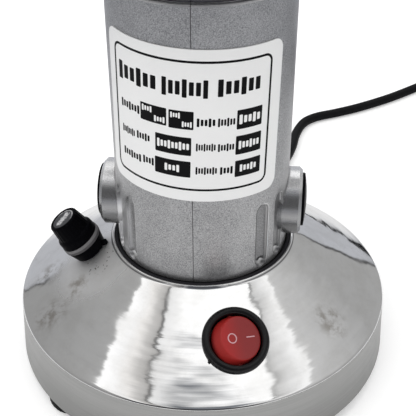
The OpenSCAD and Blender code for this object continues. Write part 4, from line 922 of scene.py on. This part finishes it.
# The marks: an oval line and a dash, half sunk in the rocker's top.
def makeMarks(size, pivot):
    a = np.linspace(0, 2 * math.pi, 48, endpoint=False)
    away = np.stack([np.cos(a), np.sin(a), 0 * a], axis=1)
    path = (*size["ovalAt"], 0) + np.array([*size["ovalRadii"], 0]) * away
    section = roundedBox(size["line"], size["lineThick"], 0.06, 3)
    oval = shellOf(bandOf(path, section, away[:, None], np.array([0, 0, 1.0])), wrapRows=True)
    half = size["lineThick"] / 2
    dash = extrude(roundedBox(size["dashLength"], size["line"], 0.2), [(0.03, -half), (0, 0), (0.06, half)])
    marks = [moved(mark, (0, 0, size["top"] - 0.06)) for mark in (oval, moved(dash, (*size["dashAt"], 0)))]
    addPiece("rocker_marks", [placed(mark, *pivot) for mark in marks], "rocker", "mark")


def makeSwitch(size):
    origin, basis = coneSeat(*size["seat"])
    lean = math.radians(size["tilt"])
    tilt = np.array([[math.cos(lean), 0, -math.sin(lean)], [0, 1, 0], [math.sin(lean), 0, math.cos(lean)]])
    pivot = origin + size["pivot"] * basis[2], tilt @ basis
    makeBezel(size, (origin, basis))
    makeRocker(size, pivot)
    makeMarks(size, pivot)


# Fuse holder: barrel and flange with its tab, the grey washer, and the cap with shallow flutes
def makeFuse(size):
    seat = coneSeat(*size["seat"])
    h, r, low, plugR, barrel, deep = pick(size, "flangeHeight flange flangeFoot plug barrel depth")
    bore, stop = size["bore"]
    body = lathe([(barrel, -deep, 0.4), (barrel, 0.1, 0.1), (low, 0.1, 0.2), (r, h - 0.6, 0.5),
                  (r, h - 0.02, 0.15), (plugR + 0.05, h - 0.02, 0.1), (plugR + 0.05, stop, 0.2),
                  (bore, stop, 0.2), (bore, -deep, 0.2)], 120, 0.25, True, seat=seat)
    tab = extrude(roundedBox(2.6, 1.8, 0.3), [(0.1, 0.1), (0, 0.2), (0, 1.35), (0.2, 1.6)])
    tab = placed(moved(tab, (low + 0.6, 0, 0)), (0, 0, 0), turned(size["tab"]))
    addPiece("fuse_body", [body, placed(tab, *seat)], "base", "pitch", ("fuse_holder",))

    w, z0, z1 = size["washer"], h + 0.01, size["capAt"] - 0.1
    middle = (z0 + z1) / 2
    band = lathe([(w - 0.15, z0, 0.15), (w, middle - 0.1, 0.2), (w - 0.12, middle, 0.1),
                  (w, middle + 0.1, 0.2), (w - 0.1, z1, 0.15), (plugR + 0.45, z1, 0.1),
                  (plugR + 0.45, z0, 0.1)], 120, closed=True, seat=seat)
    addPiece("fuse_band", [band], "base", "washer", ("fuse_washer",))

    c, end, skirt, (hollow, up), length = pick(size, "capAt end skirt hollow plugLength")
    top, knee = c + size["capHeight"], c + size["skirtTop"]

    def flutes(a, radius, z):
        return np.where((z > knee + 0.7) & (radius > end - 0.3), 0.05 * (np.cos(24 * a) - 1), 0)

    grip = lathe([(0, c - up, 0.1), (hollow, c - up, 0.1), (hollow, c - length, 0.1),
                  (plugR, c - length, 0.3), (plugR, c, 0.1), (skirt, c, 0.25), (skirt - 0.15, knee, 0.5),
                  (size["grip"], knee + 0.8, 0.3), (end, top - 0.4, 0.4), (end - 0.5, top, 0.3),
                  (end - 1.0, top - 0.05, 0.1), (end - 1.2, top - 0.25, 0.15), (0, top - 0.3, 0.3)],
                 192, 0.25, wave=flutes, seat=seat)
    addPiece("fuse_grip", [grip], "fuse_cap", "pitch", ("fuse_cap",))
    face = lathe([(0, top - 0.28, .02), (end - 1.4, top - 0.28, .02), (end - 1.4, top - 0.2, .04),
                  (0, top - 0.2, .02)], 96, 0.1, seat=seat)
    addPiece("fuse_grip_face", [face], "fuse_cap", "worn")


# Brush caps: a disc with a thin edge and a low dome, a slot across it, and a stem into the boss. The dome
# rises by one less the square of the part of the radius.
cap = {"face": 36.4, "height": 65.659, "radius": 9.7, "edge": 1.0, "dome": 1.9, "stem": 7.88,
       "stemEnd": -5.08, "slot": (14.1, 1.8, 0.9)}


def makeCaps(size):
    r, edge, dome, stem, end = pick(size, "radius edge dome stem stemEnd")
    crown = [(r * part, edge + (dome - edge) * (1 - part ** 2), 0.3) for part in (1, 0.8, 0.55, 0.3)]
    profile = [(0, end, 0), (stem, end, 0.2), (stem, 0.03, 0.05), (r, 0.03, 0.15), *crown, (0, dome, 0)]
    length, width, deep = size["slot"]
    slot = extrude(roundedBox(length, width, 0.3), [(0, dome - deep), (0, dome + 1)])
    seats = [((side * size["face"], 0, size["height"]), [(0, 0, -side), (0, 1, 0), (side, 0, 0)])
             for side in (-1, 1)]
    caps = [lathe(profile, 128, seat=seat) for seat in seats]
    piece = addPiece("cap_pair", caps, "base", "pitch", ("brush_caps",))
    cutOut(piece, [placed(slot, *seat) for seat in seats])


# Label: a film bent round the housing, its left and right edges drawn in by the corner circles. A block is
# its two sides, bottom and top, and a word its two sides, middle, height and number of bars.
label = {"radius": 31.42, "thick": 0.4, "left": -61.8, "right": 57.3, "low": 83.459, "high": 137.359,
         "corner": 4, "lean": 1.5, "middle": 110.4, "ink": (0.035, -0.05), "paleInk": (0.07, -0.02),
         "blocks": [(-17.7, -8.2, 110.5, 116.7), (-7.45, 0.6, 110.2, 116.6), (14.45, 23.6, 109.7, 116.5),
                    (-12.1, 0, 100.7, 107.3), (14.4, 23.7, 100.5, 107.3), (-12.3, -0.1, 92.5, 98.5),
                    (14.5, 23.9, 92.1, 98.2)],
         "words": [(-27.9, -11.4, 124.7, 7.4, 6), (-10.1, 5.2, 124.4, 7.4, 7), (7.5, 22.6, 124.7, 7.0, 6),
                   (-27, -18, 113.2, 3.6, 7), (1.4, 7.6, 112.9, 3.6, 5), (8.1, 14, 112.8, 3.6, 6),
                   (-26.8, -20.4, 103.7, 3.4, 8), (-19.7, -14.1, 104.1, 3.4, 5), (1.4, 7.9, 104, 3.4, 8),
                   (8.4, 14, 103.7, 3.4, 6), (-26.6, -17.8, 95.3, 3.4, 7), (-17.2, -12.6, 95.8, 3.4, 4),
                   (1.4, 8.6, 95.3, 3.4, 8), (9.3, 13.9, 95.1, 3.4, 4)],
         "paleWords": [(-17.2, -13.2, 115, 2.6, 4), (-12.6, -8.6, 112.3, 2.6, 4), (-7, -3.6, 114.9, 2.4, 4),
                       (-3.2, 0.2, 112, 2.4, 4), (15, 23, 113.1, 4, 5), (-11.6, -0.5, 104, 3.6, 9),
                       (15.2, 23, 103.9, 3.6, 6), (-9, -3.6, 95.5, 3.2, 4), (16, 22.4, 95.2, 3.2, 5)],
         "frame": (-30.1, 26.9, 87.5, 133.7), "frameLine": 0.8}


# A point of the unrolled label to space. The label is stuck on askew, so with k = tan(lean) the azimuth is
# (s + k (z - middle)) / r and the height is z - k s.
def wrapLabel(s, z, lift):
    r = label["radius"] + label["thick"]
    k = math.tan(math.radians(label["lean"]))
    a = (s + k * (z - label["middle"])) / r
    radius = r + lift
    return np.stack([radius * np.sin(a), -radius * np.cos(a), z - k * s], axis=-1)


# A rounded rectangle as a grid: each row is as wide as the corner circles leave it.
def labelPatch(s0, s1, z0, z1, corner, front, back, rows, columns):
    turn = np.linspace(0, math.pi / 2, rows)
    inset = corner * (1 - np.sin(turn))
    rise = corner * (1 - np.cos(turn))
    z = np.concatenate([z0 + rise, z1 - rise[::-1]])[:, None]
    pull = np.concatenate([inset, inset[::-1]])[:, None]
    u = np.linspace(0, 1, columns)[None, :]
    s = (s0 + pull) * (1 - u) + (s1 - pull) * u
    return plateOf(wrapLabel(s, z + 0 * s, front), wrapLabel(s, z + 0 * s, back))


# A closed line of ink round a rounded rectangle.
def labelLine(s0, s1, z0, z1, corner, width, lift, sink):
    shapes = []
    for grow in (0, -width):
        outline = roundedBox(s1 - s0 + 2 * grow, z1 - z0 + 2 * grow, corner + grow, 8).reshape(4, -1, 2)
        sides = [np.linspace(outline[k][-1], outline[(k + 1) % 4][0], 18)[1:-1] for k in range(4)]
        shapes.append(np.vstack([np.vstack([outline[k], sides[k]]) for k in range(4)]))
    outer, inner = shapes
    middle = np.array([(s0 + s1) / 2, (z0 + z1) / 2])
    corners = [(outer, sink), (outer, lift), (inner, lift), (inner, sink)]
    grid = np.stack([wrapLabel(*(shape + middle).T, up) for shape, up in corners], axis=1)
    return shellOf(grid, wrapRows=True)


# A word's worth of plain upright bars, every third one taller
def wordBars(s0, s1, middle, height, count, front, back):
    pitch = (s1 - s0) / count
    bars = []
    for k in range(count):
        left = s0 + (k + 0.16) * pitch
        half = height * (0.62 if k % 3 else 0.84) / 2
        bars.append(labelPatch(left, left + 0.68 * pitch, middle - half, middle + half,
                               min(0.25 * pitch, 0.25), front, back, 3, 4))
    return bars


def makeLabel(size):
    r = size["radius"] + size["thick"]
    s0, s1 = math.radians(size["left"]) * r, math.radians(size["right"]) * r
    film = labelPatch(s0, s1, size["low"], size["high"], size["corner"], 0, -size["thick"], 9, 96)
    addPiece("label_film", [film], "base", "label", ("label_plate",))
    dark = [labelLine(*size["frame"], 3, size["frameLine"], *size["ink"])]
    dark += [labelPatch(*block, 0.3, *size["ink"], 4, 8) for block in size["blocks"]]
    # plain bars stand where the printed words are
    dark += [bar for word in size["words"] for bar in wordBars(*word, *size["ink"])]
    addPiece("label_print", dark, "base", "ink")
    pale = [bar for word in size["paleWords"] for bar in wordBars(*word, *size["paleInk"])]
    addPiece("label_blanks", pale, "base", "label")


# Bowl, lid, knob and cradle: sheet and moulded profiles turned about the axis
top = {"seat": 164.959, "bowl": 51, "sheet": 1.2, "corner": 10, "rim": 228.459, "rimRadius": 52.6,
       "lidInner": 53, "lidOuter": 54.2, "lidUnder": 231.859, "lidSkirt": 214.459, "crown": 24,
       "crownRise": 5.4, "knobLow": 238.459, "knobHeight": 24, "knob": 19, "knobBore": (1.95, 11.9),
       "scallops": 8, "scallopDepth": 1.6, "cradleLow": 156.959, "cradleHigh": 183.959, "cradle": 54.3,
       "cradleCorner": 13.3, "cradleUnder": 161.6, "neck": 31.4, "shaftHole": 9.05, "screwHole": 2.1,
       "bowlHole": 5, "pad": 26}


def makeBowl(size):
    r, s, z0, c, rim, rimR, hole = pick(size, "bowl sheet seat corner rim rimRadius bowlHole")
    shell = lathe([(hole, z0, .1), (r, z0, c), (r, rim - 1.5, .3), (rimR, rim - 1.5, .5), (rimR, rim, .5),
                   (r - s, rim, .3), (r - s, z0 + s, c - s), (hole, z0 + s, .1)], 240, 0.5, True, 12)
    addPiece("bowl_shell", [shell], "base", "brushed", ("bowl",))


def makeLid(size):
    s, under, crown, rise = pick(size, "sheet lidUnder crown crownRise")
    inner, outer, skirt, hole = pick(size, "lidInner lidOuter lidSkirt screwHole")
    over = under + s
    shell = lathe([(outer, skirt, .25), (outer, over, 2.6), (crown + 4, over + 1.6, 2),
                   (crown, over + rise, 2), (hole, over + rise, .05), (hole, over + rise - s, .05),
                   (crown - .6, under + rise, 1.6), (crown + 3.4, under + 1.6, 1.6),
                   (inner, over - s - .05, 1.8), (inner, skirt, .25)], 240, 0.5, True, 8)
    addPiece("lid_shell", [shell], "lid", "brushed", ("lid",))


# The knob's scallops: a cubed cosine round it, deeper towards its widest part.
def makeKnob(size):
    z, h, k, (bore, deep) = pick(size, "knobLow knobHeight knob knobBore")
    waist = k * .58

    def scallops(a, radius, height):
        cosine = np.clip(np.cos(size["scallops"] * (a + math.pi / 8)), 0, 1)
        reach = np.clip((radius - k * .62) / (k * .3), 0, 1)
        return np.where((radius > k * .62) & (height > z + 5), -size["scallopDepth"] * cosine ** 3 * reach, 0)

    knob = rounded([(bore, z, .1), (waist + 3, z, .3), (waist + 3, z + 2, .8), (waist, z + 4.6, 1.5),
                    (waist, z + h * .36, 1.5), (k - 2, z + h * .44, 2.5), (k, z + h * .56, 2),
                    (k - .3, z + h - 6, 3), (k - 2.4, z + h - 1.2, 2.4), (k * .55, z + h, 3),
                    (k * .45, z + h - .5, 1), (1.9, z + h - .6, .1)])
    profile = [[(0, z + deep)], [(bore, z + deep)], braced(knob, 0.4)[1:-1], [(0, z + h - .6)]]
    shell = revolve(np.vstack(profile), 256, wave=scallops)
    addPiece("knob_grip", [shell], "lid", "plastic", ("lid_knob",))


def makeCradle(size):
    low, high, out, neck, z0 = pick(size, "cradleLow cradleHigh cradle neck seat")
    under, corner, hole, pad = pick(size, "cradleUnder cradleCorner shaftHole pad")
    r, c = size["bowl"] + .3, size["corner"] + .3
    shell = lathe([(hole, low, .2), (neck, low, 1), (neck, under, 2.5), (out, under + .06, corner),
                   (out, high, .8), (r, high, .5), (r, z0, c), (pad, z0 - .02, .1), (pad, z0 - .3, .1),
                   (hole, z0 - .3, .1)], 240, 0.5, True, 12)
    addPiece("cradle_shell", [shell], "base", "silver", ("bowl_cradle",))


makeDish(dish)
makeRing(ring)
makeFeet(foot)
makeSwitch(switch)
makeFuse(fuse)
makeCaps(cap)
makeLabel(label)
for makePart in (makeBowl, makeLid, makeKnob, makeCradle):
    makePart(top)
print("outer pieces made")

# Finishes of the nodes that keep their own mesh
nodeFinishes = {
    "zinc": ["bottom_plate", "mount_plate", "pillars"],
    "screw": ["base_screws", "housing_screws", "bowl_screws", "knob_screw"],
    "silver": ["housing_left", "housing_right"],
    "brass": ["brush_holder_left", "brush_holder_right", "terminal_tabs"],
    "plastic": ["fuse_nut"],
    "carbon": ["brush_left", "brush_right"],
    "spring": ["brush_spring_left", "brush_spring_right"],
    "core": ["stator_core", "rotor_core"],
    "copper": ["field_coil_left", "field_coil_right", "rotor_winding"],
    "bright": ["bearing_outer_rings", "bearing_inner_rings", "shaft"],
    "blade": ["lower_blade", "blade_spacer", "upper_blade", "blade_nut"],
    "bars": ["commutator"], "fan": ["fan"], "rubber": ["shaft_seal"], "silicone": ["lid_gasket"],
    "glass": ["glass_fuse"], "ivory": ["terminal_block"], "blue": ["suppressor"], "leads": ["inner_leads"],
    "nickel": ["plug_pins"],
}
for finishName, nodes in nodeFinishes.items():
    for node in nodes:
        slots = bpy.data.objects[node].data.materials
        slots.clear()
        slots.append(finishes[finishName])
print("node finishes given")

# Stage: floor, soft lamp, and the light that shiny faces see. Angles are in degrees: across from straight
# up over the ceiling, and round from the back for the walls.
stage = {"floorSize": 8, "floor": (0.86, 0.86, 0.86), "floorGlow": 0.30, "farFrom": (0.1, 0.32),
         "farFloor": (0.42, 0.43, 0.46), "under": 0.62, "above": 1.05, "wall": 0.36, "rightWall": 0.52,
         "backWall": (0.46, 0.47, 0.50), "back": ((-51.4, -50.4), (30.6, 29.6)),
         "corners": [((-52.0, -51.0), (-49.8, -50.8)), ((28.6, 29.6), (31.0, 30.0))], "wallTop": (0.62, 0.42),
         "span": 60, "lit": 1.1, "frontShift": 2.6,
         "opening": (0.19, 0.20, 0.22), "front": (0.045, 0.045, 0.05), "lampSize": 1.2,
         "lampEnergy": 5.0, "lampPlace": (-0.35, -0.45, 1.5), "lampTurn": (20, -14)}


# The floor: white paper that glows a little for the camera, and for shiny faces is darker far off.
def makeFloor(size):
    half = size["floorSize"] / 2
    mesh = bpy.data.meshes.new("floor")
    corners = [(-half, -half, 0), (half, -half, 0), (half, half, 0), (-half, half, 0)]
    mesh.from_pydata(corners, [], [(0, 1, 2, 3)])
    material = bpy.data.materials.new("floor_paper")
    material.use_nodes = True
    tree = material.node_tree
    shader = tree.nodes["Principled BSDF"]
    shader.inputs["Roughness"].default_value = 0.9
    shader.inputs["Emission Color"].default_value = (1, 1, 1, 1)
    path = tree.nodes.new("ShaderNodeLightPath")
    seen, shiny = [Socket(tree, path.outputs[ray]) for ray in ("Is Camera Ray", "Is Glossy Ray")]
    x, y, z = Socket(tree, tree.nodes.new("ShaderNodeTexCoord").outputs["Object"]).split()
    far = x.hypot(y).rise(*size["farFrom"]) * shiny
    tree.links.new(far.mix(size["floor"], size["farFloor"]).socket, shader.inputs["Base Color"])
    tree.links.new((seen * size["floorGlow"]).socket, shader.inputs["Emission Strength"])
    mesh.materials.append(material)
    addObject("floor", mesh)


# The world: plain light for rough faces, white for the camera, and a light tent for shiny ones. The tent's
# ceiling is banded by the angle across, atan(x / z): from the left a grey wall, a flank that shades off, a
# thin seam, white over the middle, a second seam, a pale flank and the right wall. Low down is a grey back
# wall between two dark corners. In front it grows dark towards the open side, where the camera stands.
def makeWorld(size):
    world = bpy.data.worlds.new("soft_light")
    bpy.context.scene.world = world
    world.use_nodes = True
    tree = world.node_tree
    x, y, z = Socket(tree, tree.nodes.new("ShaderNodeTexCoord").outputs["Generated"]).split()
    forward = (y * -1).degrees(z)
    across = x.degrees(z) - forward.rise(15, 22) * size["frontShift"]
    span, wall, right, lit = size["span"], size["wall"], size["rightWall"], size["lit"]
    stops = [(-span, wall * 0.85), (-38.6, wall * 1.05), (-37.6, 1.1), (-33, 0.98), (-29, 0.88), (-25, 0.58),
             (-21.2, 0.45), (-20.6, 0.16), (-19.8, 0.18), (-18.8, 0.85), (-8, lit), (12, lit), (27.6, lit),
             (28.3, 0.20), (28.9, 0.24), (29.6, 0.62), (39.0, 1.0), (40.2, right * 1.1), (span, right * 0.7)]
    stops = [((angle + span) / (2 * span), grey(value, 0.02 if -33 < angle < -20 else 0))
             for angle, value in stops]
    tent = across.make("ShaderNodeValToRGB", {"stops": stops}, {0: (across + span) / (2 * span)})
    turn = x.degrees(y)
    behind = turn.within(*size["back"])
    first, second = [turn.within(*edges) for edges in size["corners"]]
    corner = first + second
    walls = corner.mix(behind.mix(grey(wall), size["backWall"]), grey(0.08))
    tent = (z.rise(*size["wallTop"]) * behind.math("MAXIMUM", corner)).mix(tent, walls)
    tent = (forward.rise(17, 24) * abs(across - 4).rise(25, 14)).mix(tent, size["opening"])
    tent = (forward.rise(42, 54) * abs(x).rise(0.7, 0.5) * z.rise(-0.1, 0.02)).mix(tent, size["front"])
    light = tree.nodes.new("ShaderNodeLightPath")
    camera, glossy = [Socket(tree, light.outputs[ray]) for ray in ("Is Camera Ray", "Is Glossy Ray")]
    plain = z.rise(-0.2, 0.9).mix(grey(size["under"]), grey(size["above"]))
    seen = camera.mix(glossy.mix(plain, tent), (1.0, 1.0, 1.0))
    tree.links.new(seen.socket, tree.nodes["Background"].inputs["Color"])


def makeLamp(size):
    lamp = bpy.data.lights.new("soft_box", "AREA")
    lamp.shape, lamp.size, lamp.energy = "DISK", size["lampSize"], size["lampEnergy"]
    lamp.color = (1.0, 0.995, 0.985)
    holder = addObject("soft_box", lamp)
    holder.location = size["lampPlace"]
    holder.rotation_euler = (*[math.radians(angle) for angle in size["lampTurn"]], 0)
    holder.visible_glossy = False


makeFloor(stage)
makeWorld(stage)
makeLamp(stage)
bpy.context.scene.view_settings.view_transform = "Standard"
print("stage and light set")
